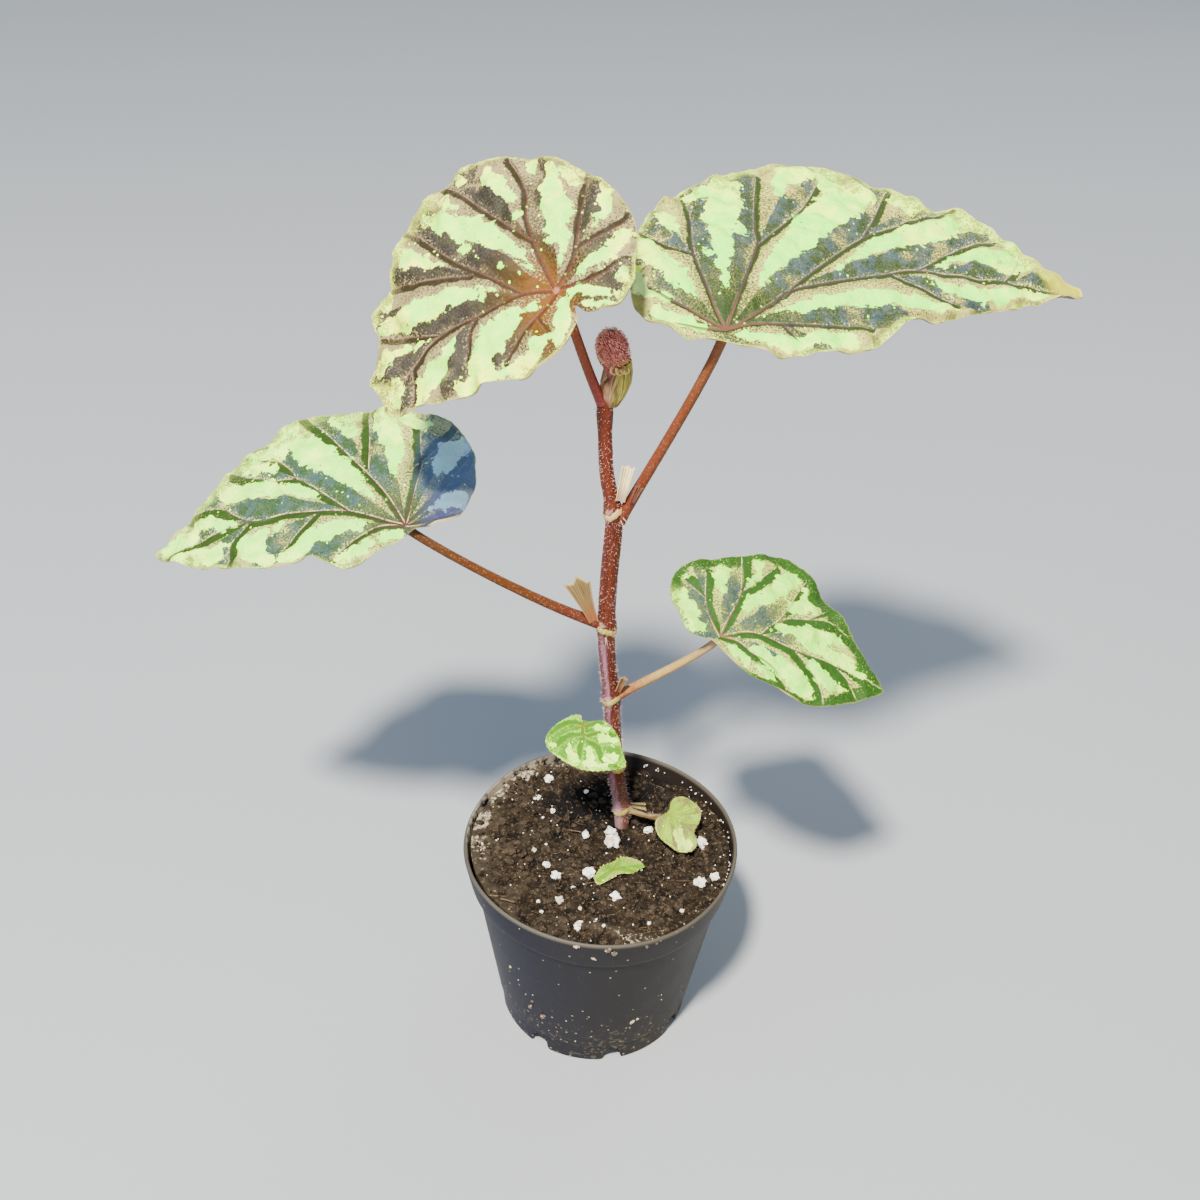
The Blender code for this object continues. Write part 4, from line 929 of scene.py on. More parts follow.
def stemPaint():
    paint = Paint("stem_skin_fine", 0.42)
    place = paint.place()
    scar, bloom, height = paint.value("scar"), paint.value("bloom"), paint.value("height")
    streaks = paint.noise(paint.sized(place, (900, 900, 60)), 1, 4, 0.6)
    colour = paint.blend(paint.step(streaks, 0.3, 0.7), *stem["skin"])
    # the left side is purple, more so below the fourth leaf; the foot is pale mauve on that side. Both are
    # partly the stem's own tone and partly a painted highlight on the lit left side
    patches = paint.noise(paint.sized(place, (300, 300, 50)), 1, 2)
    purpleAndHighlight = paint.step((patches - 0.5) * 1.6 - paint.value("sideways"), -0.15, 0.65)
    purpleAndHighlight = purpleAndHighlight * (0.12 + 0.75 * (1 - paint.step(height, 1.66, 1.86)))
    colour = paint.blend(purpleAndHighlight, colour, stem["purpleAndHighlight"])
    low = 1 - paint.step(height, 0.94, 1.10)
    colour = paint.blend(low * 0.7, colour, paint.blend(purpleAndHighlight, *stem["footTonesAndHighlight"]))
    upper = paint.step(height, 2.2, 2.5)
    colour = paint.blend(upper * 0.5, colour, stem["upper"])
    # a painted highlight: a pale mauve streak runs down the left of the front below the fourth leaf
    paintedHighlight = 1 - paint.step((paint.value("sideways") + 0.34).away(), 0.08, 0.46)
    paintedHighlight = paintedHighlight * (1 - paint.step(height, 1.68, 1.80))
    paintedHighlight = paintedHighlight * paint.step(streaks + (patches - 0.5) * 0.6, 0.30, 0.60)
    colour = paint.blend(paintedHighlight * 0.6, colour, stem["paintedHighlight"])
    dots = paint.step(0.30 - paint.cells(place, 1100), 0.0, 0.08)
    colour = paint.blend(dots * 0.30, colour, stem["dots"])
    bloomed = paint.step(bloom + (streaks - 0.5) * 1.4, 0.2, 0.9)
    colour = paint.blend(bloomed * 0.45, colour, stem["bloom"])
    ragged = scar + (paint.noise(place, 900, 3) - 0.5) * 0.5
    scarColour = paint.blend(paint.step(streaks, 0.4, 0.7), *stem["scars"])
    scarColour = paint.blend(paint.step(height, 1.95, 2.05), scarColour, stem["upperScars"])
    specks = paint.step(paint.noise(place, 1400, 3), 0.50, 0.62)
    scarColour = paint.blend(specks * 0.45, scarColour, stem["scarSpecks"])
    colour = paint.blend(paint.step(ragged, 0.12, 0.30), colour, scarColour)
    return paint.finish(colour, 0.35 + streaks * 0.25, bumps=((streaks, 0.35, 0.25), (dots, 0.5, 0.2)),
                        Specular_IOR_Level=0.16)


dress(stemPiece, stemPaint(), slots["stem"], "stem")
print("stem made")


def bristlePaint(name, colour, second):
    paint = Paint(name, 0.4)
    mixed = paint.blend(paint.noise(paint.place(), 700, 1), colour, second)
    return paint.finish(mixed, None, Specular_IOR_Level=0.6)


rng = random.Random(stem["seed"])
shapes = []
side, other = lineFrames(stemLine)
for n in range(stem["bristles"]):
    i = rng.randrange(*stem["bristleRows"])
    z = stemLine[i][2]
    angle = rng.uniform(0, 2 * math.pi)
    if z < stem["bareBelow"] or noise.noise(Vector((0, 0, z / 14))) < -0.15 and rng.random() < 0.7:
        continue
    out = side[i] * math.cos(angle) + other[i] * math.sin(angle)
    relief = stemRelief(stemLine[i:i + 1], np.array([angle]), None)[0][0]
    reach = float(stemRadius(z)) + float(relief) - 0.05
    way = Vector(out) + Vector((rng.uniform(-0.3, 0.3), rng.uniform(-0.3, 0.3), rng.uniform(-0.3, 0.6)))
    shapes.append(hair(stemLine[i] + out * reach, way, rng.uniform(*stem["bristleLength"]),
                       stem["bristleWidth"], rng.uniform(-0.8, 0.8), 2))
for x, z, lean in stem["looseFibres"]:
    shapes.append(hair((x, stem["fibreFront"], z), (lean, -0.25, -1), rng.uniform(2.4, 3.4), 0.17, 0.4, 4))
bristles = scatterMesh("stem_bristles", shapes)
dress(bristles, bristlePaint("bristle_pale", *stem["bristleTones"]), slots["stem"])


# the petioles
# Each rises from the stem's middle: foot height, a point on the way, the length that stands
# square to the blade, radii at foot and head; tones run from foot to head.

petioles = {
    "leaf1": dict(foot=88, bow=(15.1, 13, 86.3), square=4, radii=(1.5, 1.2), rough=0.35, hairs=0,
                  tones=((0.16, 0.12, 0.03), (0.10, 0.06, 0.02), (0.06, 0.035, 0.015))),
    "leaf2": dict(foot=108, bow=(-0.2, 12.1, 119), square=6, radii=(1.4, 1.1), rough=0.05, hairs=30,
                  tones=((0.11, 0.03, 0.012), (0.14, 0.06, 0.02), (0.11, 0.09, 0.02))),
    "leaf3": dict(foot=143, bow=(13.4, 14.9, 153.6), square=15, radii=(1.8, 1.4), rough=0.05, hairs=90,
                  tones=((0.17, 0.042, 0.018), (0.29, 0.180, 0.048), (0.26, 0.165, 0.080))),
    "leaf4": dict(foot=177.5, bow=(-21.9, 13.4, 183.5), square=6, radii=(2.0, 1.5), rough=0.05, hairs=130,
                  tones=((0.070, 0.0110, 0.004), (0.064, 0.0175, 0.0010), (0.060, 0.0220, 0.0040))),
    "leaf5": dict(foot=218, bow=(11.8, 14.3, 248.8), square=20, radii=(2.0, 1.6), rough=0.05, hairs=130,
                  tones=((0.095, 0.016, 0.006), (0.108, 0.024, 0.006), (0.145, 0.046, 0.010))),
    "leaf6": dict(foot=265.5, bow=(-11.4, 11.1, 275.4), square=8, radii=(1.7, 1.5), rough=0.05, hairs=60,
                  tones=((0.150, 0.022, 0.018), (0.155, 0.030, 0.009), (0.20, 0.050, 0.010))),
}


def stalkPaint(name, tones):
    paint = Paint(name + "_skin", 0.4)
    place = paint.place()
    along = paint.value("along")
    streaks = paint.noise(place, 650, 4, 0.6)
    colour = paint.blend(paint.step(along, 0.05, 0.45), tones[0], tones[1])
    colour = paint.blend(paint.step(along, 0.55, 0.98), colour, tones[2])
    paler = tuple(1.5 * c + 0.007 for c in tones[1])
    colour = paint.blend(paint.step(streaks, 0.42, 0.75) * 0.45, colour, paler)
    dots = paint.step(0.28 - paint.cells(place, 1000), 0.0, 0.08)
    colour = paint.blend(dots * 0.3, colour, stalkForm["dots"])
    return paint.finish(colour, 0.34 + streaks * 0.25, bumps=((streaks, 0.3, 0.25),),
                        Specular_IOR_Level=0.18)


stalkForm = {
    "rows": 90,
    "around": 28,
    "footSwelling": (0.5, 18),     # how much thicker, and how fast that runs out
    "headSwelling": (0.25, 30),
    "hairLength": (0.4, 0.9),
    "hairWidth": 0.06,
    "hairTones": ((0.40, 0.24, 0.17), (0.20, 0.085, 0.055)),
    "dots": (0.32, 0.17, 0.12),
}
shapes = []
for name, stalk in petioles.items():
    leaf = leaves[name]
    upward = leafTurn(leaf)[:, 2]
    start = stemLine[np.argmin(np.abs(stemLine[:, 2] - stalk["foot"]))]
    head = np.array(leaf["at"]) - upward * 0.6
    t = np.linspace(0, 1, 60)[:, None]
    line = (start * (1 - t) ** 3 + np.array(stalk["bow"]) * 3 * t * (1 - t) ** 2
            + (head - upward * stalk["square"]) * 3 * t * t * (1 - t) + head * t ** 3)
    line = line[np.linalg.norm((line - start)[:, :2], axis=1) > 1.0]
    line = spreadLine(line, stalkForm["rows"])
    share = np.linspace(0, 1, stalkForm["rows"] + 1)
    thick, thin = stalk["radii"]
    # thinner outwards, with a swelling at the foot and a smaller one at the blade
    (footSwell, footFade), (headSwell, headFade) = stalkForm["footSwelling"], stalkForm["headSwelling"]
    radii = thin + (thick - thin) * (1 - share) ** 2
    radii = radii + footSwell * np.exp(-share * footFade) + headSwell * np.exp((share - 1) * headFade)

    def stalkRelief(point, angle, along, stalk=stalk):
        wrinkles = stalk["rough"] * noiseAt(*point.T, 2.5) * np.cos(3 * angle + 9 * along)
        return 0.03 * np.sin(7 * angle) + wrinkles, {"along": along}

    piece = makeTube(name + "_petiole_fine", line, radii, stalkForm["around"], stalkRelief)
    dress(piece, stalkPaint(name + "_petiole", stalk["tones"]), slots[name + "_petiole"], name + "_petiole")
    side, other = lineFrames(line)
    for n in range(stalk["hairs"]):
        i = min(stalkForm["rows"] - 2, int(stalkForm["rows"] * rng.random() ** 1.7) + 2)
        angle = rng.uniform(0, 2 * math.pi)
        out = side[i] * math.cos(angle) + other[i] * math.sin(angle)
        way = Vector(out) + Vector([rng.uniform(-0.4, 0.4) for _ in range(3)])
        shapes.append(hair(line[i] + out * (radii[i] - 0.05), way, rng.uniform(*stalkForm["hairLength"]),
                           stalkForm["hairWidth"], rng.uniform(-0.6, 0.6), 2))
stalkHairs = scatterMesh("petiole_hairs", shapes)
dress(stalkHairs, bristlePaint("hair_pale", *stalkForm["hairTones"]), slots["leaf5_petiole"])
print("petioles made")


# the stipules: dry scales curled round their length
# foot, head, widths there, depth of the curl, how deep the end is torn, ribs; tones from foot to head

stipules = {
    "leaf1_stipule": dict(
        foot=(11.4, 14.5, 90.8), head=(17.2, 12.5, 93), widths=(2.4, 3.4), curl=1.6, torn=2.4, ribs=4,
        tones=((0.13, 0.085, 0.028), (0.17, 0.115, 0.036)), edge=(0.16, 0.10, 0.03)),
    "leaf3_stipule": dict(
        foot=(3.2, 13.2, 148.6), head=(5.4, 12.3, 156.6), widths=(1.8, 2.5), curl=1.0, torn=1.6, ribs=4,
        tones=((0.11, 0.022, 0.008), (0.17, 0.078, 0.026)), edge=(0.36, 0.22, 0.08)),
    "leaf4_stipule": dict(
        foot=(-6.5, 13.4, 180.6), head=(-13.4, 11.7, 200.7), widths=(3.2, 9.4), curl=3.0, torn=5.0, ribs=9,
        tones=((0.24, 0.075, 0.016), (0.20, 0.125, 0.040)), edge=(0.62, 0.44, 0.12)),
    "leaf5_stipule": dict(
        foot=(0.4, 13.4, 231.2), head=(2.6, 12.5, 246.5), widths=(3.0, 4.2), curl=1.5, torn=3.6, ribs=4,
        tones=((0.42, 0.24, 0.14), (0.80, 0.66, 0.34)), edge=(0.62, 0.44, 0.12)),
    "leaf5_bract": dict(
        foot=(4.3, 12, 231.7), head=(6.6, 11.1, 238.9), widths=(1.8, 2.6), curl=0.8, torn=1.2, ribs=3,
        tones=((0.10, 0.022, 0.010), (0.13, 0.038, 0.016)), edge=(0.16, 0.045, 0.02)),
}
stipuleThickness = 0.35
tearCount = 12


def scalePaint(name, tones, edgeTone):
    paint = Paint(name + "_paper", 0.6)
    across, along = paint.value("across"), paint.value("along")
    lines = paint.noise(paint.add("CombineXYZ", {}, {"X": across * 26, "Y": along * 2.2}), 1, 3, 0.6)
    colour = paint.blend(paint.step(along + (lines - 0.5) * 0.3, 0.05, 0.55), tones[0], tones[1])
    colour = paint.blend(paint.step(lines, 0.48, 0.72) * 0.7, colour, toned(tones[1], 0.4))
    edge = paint.step((across - 0.5).away(), 0.44, 0.49).most(paint.step(along, 0.93, 0.99))
    colour = paint.blend(edge * 0.4, colour, edgeTone)
    return paint.finish(colour, 0.5 + lines * 0.3, bumps=((lines, 0.6, 0.3),))


for name, scale in stipules.items():
    foot, head = np.array(scale["foot"], float), np.array(scale["head"], float)
    length = np.linalg.norm(head - foot)
    ahead = (head - foot) / length
    wide = np.cross(ahead, (0, 1, 0))
    wide /= np.linalg.norm(wide)
    out = np.cross(wide, ahead)
    tears = [rng.random() for _ in range(tearCount)]

    def place(across, along, scale=scale):
        s = 2 * across - 1
        narrow, broad = scale["widths"]
        half = (narrow + (broad - narrow) * along ** 1.3) / 2
        jagged = np.interp(across * (tearCount - 1), range(tearCount), tears)
        torn = scale["torn"] * (jagged * 0.3 + 0.4 * np.sin(math.pi * s) ** 2)
        ribs = 0.2 * np.cos(scale["ribs"] * math.pi * s) * (0.4 + along)
        curl = scale["curl"] * (0.4 + 0.6 * along) * s * s + ribs
        points = (foot + np.outer(length * along - torn * along ** 4, ahead) + np.outer(half * s, wide)
                  - np.outer(curl, out))
        return points, {"across": across, "along": along}

    piece = rolledGrid(name + "_fine", 48, 40, place)
    applyStep(piece, "SOLIDIFY", thickness=stipuleThickness * mm, offset=0)
    smoothPiece(piece, 60)
    dress(piece, scalePaint(name, scale["tones"], scale["edge"]), slots[name], name)
print("stipules made")


# the growing tip: ribbed sheath, folded young leaf, its curled hairs

tip = {
    "foot": (-4.1, 15.3, 266.3),
    "head": (-2.2, 15.4, 277.8),
    "sheathHeight": 15.6,
    "sheathWall": 0.4,
    "radii": [2.4, 4.0, 4.9, 4.7, 3.6],     # of the sheath, from foot to lip
    "ribs": 13,
    "notchSide": math.radians(212),
    "notchDepth": 5.2,
    # the folded young leaf: x, y, z and radius of its rings
    "rings": [(-4.3, 15.4, 269.2, 1.0), (-4.0, 15.4, 272.4, 2.0), (-3.5, 15.4, 275.4, 2.9),
              (-3.2, 15.4, 277.6, 3.3), (-3.4, 15.4, 280.4, 3.7), (-4.0, 15.4, 283.0, 4.6),
              (-4.7, 15.3, 286.0, 4.9), (-5.0, 15.3, 288.8, 4.4), (-5.2, 15.3, 290.9, 3.1),
              (-5.3, 15.3, 292.0, 1.3), (-5.3, 15.3, 292.3, 0.2)],
    "hairs": 560,
    "hairMiddle": 286.2,
    "hairReach": 5.6,
    "hairLength": (1.5, 2.3),
    "hairCurl": (2.2, 4.2),
    "goldenAngle": 2.39996,
    "paleCurls": 3,
    # tones of the sheath's two sides, between its ribs and on them, and of its foot
    "yellow": ((0.085, 0.062, 0.004), (0.52, 0.42, 0.060)),
    "tan": ((0.095, 0.034, 0.013), (0.44, 0.25, 0.12)),
    "sheathFoot": (0.11, 0.026, 0.013),
    "young": ((0.20, 0.028, 0.026), (0.38, 0.080, 0.066)),
    "downRed": ((0.60, 0.130, 0.105), (0.92, 0.50, 0.34)),
    "downCream": ((0.85, 0.64, 0.22), (0.60, 0.34, 0.12)),
}


def placeSheath(across, along):
    foot, head = np.array(tip["foot"]), np.array(tip["head"])
    angle = 2 * math.pi * across
    radius = np.interp(along * 4, range(5), tip["radii"])
    rib = 0.22 * np.cos(tip["ribs"] * angle) * along ** 0.5
    # the side towards the petiole is open: its edge dips there
    dip = np.exp(-(((angle - tip["notchSide"] + math.pi) % (2 * math.pi) - math.pi) / 0.42) ** 2)
    lift = along * (tip["sheathHeight"] + 0.9 * np.cos(angle - 0.6) * along ** 2)
    lift = lift - tip["notchDepth"] * dip * along ** 2
    reach = radius + rib
    points = np.stack([foot[0] + (head - foot)[0] * along + reach * np.cos(angle),
                       foot[1] + reach * np.sin(angle), foot[2] + lift], axis=1)
    return points, {"across": across, "along": along}


sheath = rolledGrid("tip_sheath_fine", 156, 36, placeSheath)
applyStep(sheath, "SOLIDIFY", thickness=tip["sheathWall"] * mm, offset=-1)
smoothPiece(sheath, 60)
paint = Paint("sheath_skin", 0.42)
across, along = paint.value("across"), paint.value("along")
angle = across * 2 * math.pi
turnRound = paint.add("CombineXYZ", {}, {"X": angle.maths("COSINE") * 9, "Y": angle.maths("SINE") * 9,
                                         "Z": along * 1.2})
lines = paint.noise(turnRound, 2.6, 2, 0.5)
yellow = paint.blend(paint.step(lines, 0.42, 0.60), *tip["yellow"])
tan = paint.blend(paint.step(lines, 0.38, 0.62), *tip["tan"])
toYellow = paint.step((angle + 0.35).maths("COSINE"), 0.0, 0.6)
colour = paint.blend(toYellow, tan, yellow)
colour = paint.blend((1 - paint.step(along, 0.0, 0.28)) * 0.7, colour, tip["sheathFoot"])
dress(sheath, paint.finish(colour, 0.35 + lines * 0.3, bumps=((lines, 0.5, 0.3),), Specular_IOR_Level=0.3),
      slots["tip_sheath"], "tip_sheath")

youngLine = spreadLine(np.array([ring[:3] for ring in tip["rings"]]), 80)


# x, y, z or the radius (0 to 3) of the young leaf at a height
def youngAt(height, which):
    return np.interp(height, [ring[2] for ring in tip["rings"]], [ring[which] for ring in tip["rings"]])


def youngRelief(point, angle, along):
    folds = np.sin(5 * angle + 0.8 * (point[:, 2] - 270)) * 0.09 * youngAt(point[:, 2], 3)
    knobs = noiseAt(point[:, 0] + 5 * np.cos(angle), point[:, 1] + 5 * np.sin(angle), point[:, 2], 0.9)
    return folds + 0.5 * np.clip(knobs, -0.5, 0.6) * (point[:, 2] > 278), {"along": along}


young = makeTube("young_leaf_fine", youngLine, youngAt(youngLine[:, 2], 3), 120, youngRelief)
paint = Paint("young_leaf_skin", 0.6)
place = paint.place()
mottle = paint.noise(place, 900, 4, 0.6)
colour = paint.blend(paint.step(mottle, 0.35, 0.65), *tip["young"])
dress(young, paint.finish(colour, None, bumps=((mottle, 0.7, 0.4),)), slots["young_leaf"], "young_leaf")

shapes = []
pale = []
for n in range(tip["hairs"]):
    # spread evenly over the dome by the golden angle
    up = 1 - 1.62 * (n + 0.5) / tip["hairs"]
    angle = n * tip["goldenAngle"]
    flatPart = math.sqrt(max(0, 1 - up * up))
    out = Vector((flatPart * math.cos(angle), flatPart * math.sin(angle), up))
    z = tip["hairMiddle"] + tip["hairReach"] * up
    x, y, high, radius = (float(youngAt(z, k)) for k in range(4))
    place = Vector((x, y, high)) + Vector((math.cos(angle), math.sin(angle), 0)) * (radius - 0.15)
    low = up < -0.40
    way = out + Vector([rng.uniform(-0.35, 0.35) for _ in range(3)])
    strand = hair(place, way, rng.uniform(*tip["hairLength"]), 0.2 if low else 0.17,
                  rng.uniform(*tip["hairCurl"]) * rng.choice((-1, 1)), 5, Vector(out).orthogonal())
    (pale if low and out.y < 0.3 and rng.random() < 0.6 else shapes).append(strand)
# the pale curl at the front of the lower margin
for k in range(tip["paleCurls"]):
    pale.append(hair((-4.2 + 1.3 * k, 10.0, 282.4 - 0.3 * k), (-0.9 + 0.6 * k, -0.5, -0.9), 5.6, 0.62,
                     4.6, 8, (0.2, -1, 0.15)))
down = scatterMesh("young_leaf_hairs", shapes)
dress(down, bristlePaint("down_red", *tip["downRed"]), slots["young_leaf"])
curls = scatterMesh("young_leaf_curls", pale)
dress(curls, bristlePaint("down_cream", *tip["downCream"]), slots["young_leaf"])
print("growing tip made")


# the scrap of leaf on the soil

scrap = dict(
    at=(5, -13.6, 82.2), turn=(12, -2, 19.7), bends=(60, 60, 60), dimple=(0.0, 4),
    waves=(0.3, 6), spokes=120, rings=30, puff=0.4, rib=0.2, teeth=0.5, calm=[1],
    outline=[(-7.5, -0.5), (-4.8, 2.4), (-1, 3.6), (3.6, 4.9), (7, 5.3), (10, 3.8), (12.8, 0),
             (10.6, -1.2), (6.3, -2.4), (3.4, -1.6), (-0.5, -2), (-3.5, -3.2), (-6.8, -3.8)],
    veins=[[(-6, -1), (0, 1), (6, 1), (11, 1)], [(0, 1), (3, 4)], [(4, 1), (8, -1)]], patches=[[(-4, 0, 1)]])
look = dict(leafLooks["leaf2"], deep=(0.085, 0.19, 0.003), coolAndSkyReflection=(0.12, 0.25, 0.004),
            tanNetAndGlare=(0.18, 0.26, 0.02), fleck=(0.24, 0.28, 0.05))
scrapUnder = underPaint("scrap", underTones["scrap"], underTones["scrapVein"])
paints = [bladePaint("scrap", look), scrapUnder, rimPaint("scrap")]
piece = makeBlade("scrap", scrap, paints)
piece.name = "leaf_scrap_fine"
dress(piece, None, slots["leaf_scrap"], "leaf_scrap")


# fine hairs on the margins of the blades

marginHair = {"gaps": 0.35, "length": (0.4, 0.8), "width": 0.05,
              "tones": ((0.34, 0.27, 0.08), (0.18, 0.10, 0.03))}
shapes = []
for name, leaf in leaves.items():
    edge = openedOut(curveThrough(leaf["outline"], leaf["spokes"]))
    turned = leafTurn(leaf)
    for k in range(leaf["spokes"]):
        if rng.random() < marginHair["gaps"]:
            continue
        u, v = edge[k]
        du, dv = edge[(k + 1) % leaf["spokes"]] - edge[k]
        here = [np.array([value]) for value in (u, v, 1.0, k / leaf["spokes"])]
        lift = float(bladeLift(leaf, *here)[0])
        out = turned @ np.array([dv, -du, rng.uniform(-0.2, 0.5) * math.hypot(du, dv)])
        place = np.array(leaf["at"]) + turned @ np.array([u * 0.998, v * 0.998, lift + 0.1])
        shapes.append(hair(place, out, rng.uniform(*marginHair["length"]), marginHair["width"],
                           rng.uniform(-0.5, 0.5), 2))
marginHairs = scatterMesh("margin_hairs", shapes)
dress(marginHairs, bristlePaint("margin_hair", *marginHair["tones"]), slots["leaf5_blade"])
print("scrap and margin hairs made")


# the pot

pot = {
    "height": 85.0, "rim": 52.5, "foot": 37.8, "wall": 1.3, "band": 14.0, "bandInset": 2.4, "bandStep": 2.1,
    "footHeight": 9.4, "floorUnder": 8.4, "floorTop": 9.8, "padRadius": 8.0,
    "squareness": 0.007, "squareTurn": math.radians(19.5),
    "notches": 8, "notchWidth": 6.8, "notchHeight": 7.3, "notchFlare": 1.6, "notchTurn": math.radians(12.6),
    "around": 192,
    "plastic": ((0.0064, 0.0058, 0.0088), (0.0098, 0.0086, 0.0104)),
    "paintedWarmReflection": (0.0115, 0.0078, 0.0042),
    "paintedBlueShade": (0.0014, 0.0014, 0.0100),
    "dust": (0.10, 0.080, 0.052),
    "spots": (0.26, 0.21, 0.14),
    "scratches": (0.08, 0.075, 0.07),
    "innerCrust": (0.30, 0.24, 0.15),
    "rimDust": (0.085, 0.070, 0.048),
}


def squareFactor(z, angle):
    return 1 + pot["squareness"] * (z / pot["height"]) ** 2 * np.cos(4 * (angle - pot["squareTurn"]))


def roundedProfile(points, steps=4):
    # each corner (radius, z, roundness) becomes a short curve
    line = []
    for i, (r, z, soft) in enumerate(points):
        here = np.array([r, z], float)
        if soft == 0 or i in (0, len(points) - 1):
            line.append(here)
            continue
        before, after = np.array(points[i - 1][:2], float), np.array(points[i + 1][:2], float)
        first = here + (before - here) * min(0.45, soft / np.linalg.norm(before - here))
        last = here + (after - here) * min(0.45, soft / np.linalg.norm(after - here))
        for s in range(steps + 1):
            t = s / steps
            line.append(first * (1 - t) ** 2 + here * 2 * t * (1 - t) + last * t * t)
    return np.array(line)


bandFoot = pot["height"] - pot["band"]
bandRadius = pot["rim"] - pot["bandInset"]
wallTop = bandRadius - pot["bandStep"]
foot, rim, top, wall = pot["foot"], pot["rim"], pot["height"], pot["wall"]
# round the section: under the pad and floor, up the outside, over the rim and down the inside
potProfile = roundedProfile([
    (0, 0, 0), (pot["padRadius"], 0, 0.6), (pot["padRadius"] + 0.6, pot["floorUnder"], 0.8),
    (foot - 1.5, pot["floorUnder"], 0.8), (foot - 1.7, 0, 0.3), (foot - 0.5, 0, 0.3),
    (foot, 0.6, 0.4), (foot + 0.6, pot["footHeight"], 0.5), (foot + 1.2, pot["footHeight"] + 0.8, 0.6),
    (wallTop, bandFoot - 1.8, 1.2), (bandRadius - 0.1, bandFoot + 0.1, 1.0),
    (bandRadius + 0.3, bandFoot + 1.6, 0.8), (rim, top - 1.0, 0.6),
    (rim - 0.3, top - 0.25, 0.3), (rim - 0.8, top, 0.35), (rim - 1.3, top - 0.25, 0.3),
    (rim - 1.6, top - 1.0, 0.5), (bandRadius - wall + 0.2, bandFoot + 1.7, 0.8),
    (wallTop - wall, bandFoot + 0.7, 0.8),
    (foot - 0.2, pot["floorTop"], 1.5), (0, pot["floorTop"], 0)])


def placePot(across, along):
    i = np.round(along * (len(potProfile) - 1)).astype(int)
    angle = 2 * math.pi * across
    radius, z = potProfile[i, 0], potProfile[i, 1]
    radius = radius * squareFactor(z, angle)
    return np.stack([radius * np.cos(angle), radius * np.sin(angle), z], axis=1), {}


potPiece = rolledGrid("pot_fine", pot["around"], len(potProfile) - 1, placePot)
half = pot["notchWidth"] / 2
arch = [(half * math.cos(math.pi * k / 12), pot["notchHeight"] - half + half * math.sin(math.pi * k / 12))
        for k in range(13)]
wide = half + pot["notchFlare"]
flare = [(wide, -1.0), (wide, 0.1), (half + 0.9, 0.6), (half + 0.25, 1.9)]
arch = flare + arch + [(-x, z) for x, z in reversed(flare)]
shapes = []
for n in range(pot["notches"]):
    turned = Matrix.Rotation(-math.pi / 2 + pot["notchTurn"] + 2 * math.pi * n / pot["notches"], 3, "Z")
    count = len(arch)
    points = [turned @ Vector((radius, x, z)) for radius in (foot - 4, foot + 3) for x, z in arch]
    faces = [tuple(range(count))[::-1], tuple(range(count, 2 * count))]
    faces += [(k, (k + 1) % count, count + (k + 1) % count, count + k) for k in range(count)]
    shapes.append((points, faces))
cutter = scatterMesh("notch_cutter", shapes)
closeUp(cutter)
applyStep(potPiece, "BOOLEAN", operation="DIFFERENCE", solver="EXACT", object=cutter)
bpy.data.objects.remove(cutter, do_unlink=True)
smoothPiece(potPiece, 28)


def potPaint():
    paint = Paint("pot_plastic_fine", 0.42)
    place = paint.place()
    x, y, z = paint.axes(place, 3)
    cloud = paint.noise(place, 22, 4)
    colour = paint.blend(paint.step(cloud, 0.3, 0.7), *pot["plastic"])
    # painted light: a warm reflection painted on the right side and a blue shade painted on the left
    paintedWarmMask = paint.step(x * 1000, -22, 38)
    colour = paint.blend(paintedWarmMask * 0.85, colour, pot["paintedWarmReflection"])
    paintedShadeMask = 1 - paint.step(x * 1000 + (cloud - 0.5) * 20, -38, -6)
    colour = paint.blend(paintedShadeMask * 0.85, colour, pot["paintedBlueShade"])
    # dust gathered on the lower third, smears of soil on the band and the rim
    lowPart = 1 - paint.step(z * 1000, 12, 44)
    dust = paint.step(paint.noise(place, 420, 4, 0.65) + lowPart * 0.17 + (cloud - 0.5) * 0.35, 0.72, 0.80)
    colour = paint.blend(dust * 0.6, colour, pot["dust"])
    grain = paint.cells(place, 520)
    chosen = paint.cellNumber(place, 520)
    spot = paint.step(0.26 - grain, 0.0, 0.08) * paint.step(chosen + lowPart * 0.13, 0.93, 0.96)
    colour = paint.blend(spot * 0.9, colour, pot["spots"])
    scratch = paint.noise(paint.sized(place, (500, 500, 90)), 1, 3, 0.6, 2.0)
    colour = paint.blend(paint.step(scratch, 0.66, 0.72) * 0.25, colour, pot["scratches"])
    # the crust clings to the inner wall at the left
    radius = ((x * x + y * y).maths("SQRT")) * 1000
    inside = (1 - paint.step(radius - z * 1000 * 0.16, 37.85, 38.15)) * paint.step(z * 1000, 76, 78)
    clings = inside * (1 - paint.step(x * 1000, -28, -16)) * paint.step(y * 1000, -34, -16)
    clings = clings * paint.step(paint.noise(place, 260, 4, 0.65), 0.40, 0.52)
    colour = paint.blend(clings * 0.85, colour, pot["innerCrust"])
    rim = paint.step(z * 1000, 83.2, 84.6)
    colour = paint.blend(rim * (0.35 + cloud * 0.5), colour, pot["rimDust"])
    bumps = ((paint.noise(place, 900, 2), 0.08, 0.2), (dust + spot, 0.4, 0.2))
    return paint.finish(colour, 0.40 + 0.25 * cloud + 0.3 * dust, bumps=bumps, Specular_IOR_Level=0.16)


dress(potPiece, potPaint(), slots["pot"], "pot")
print("pot made")


# the soil, its crumbs, white grains and fibres

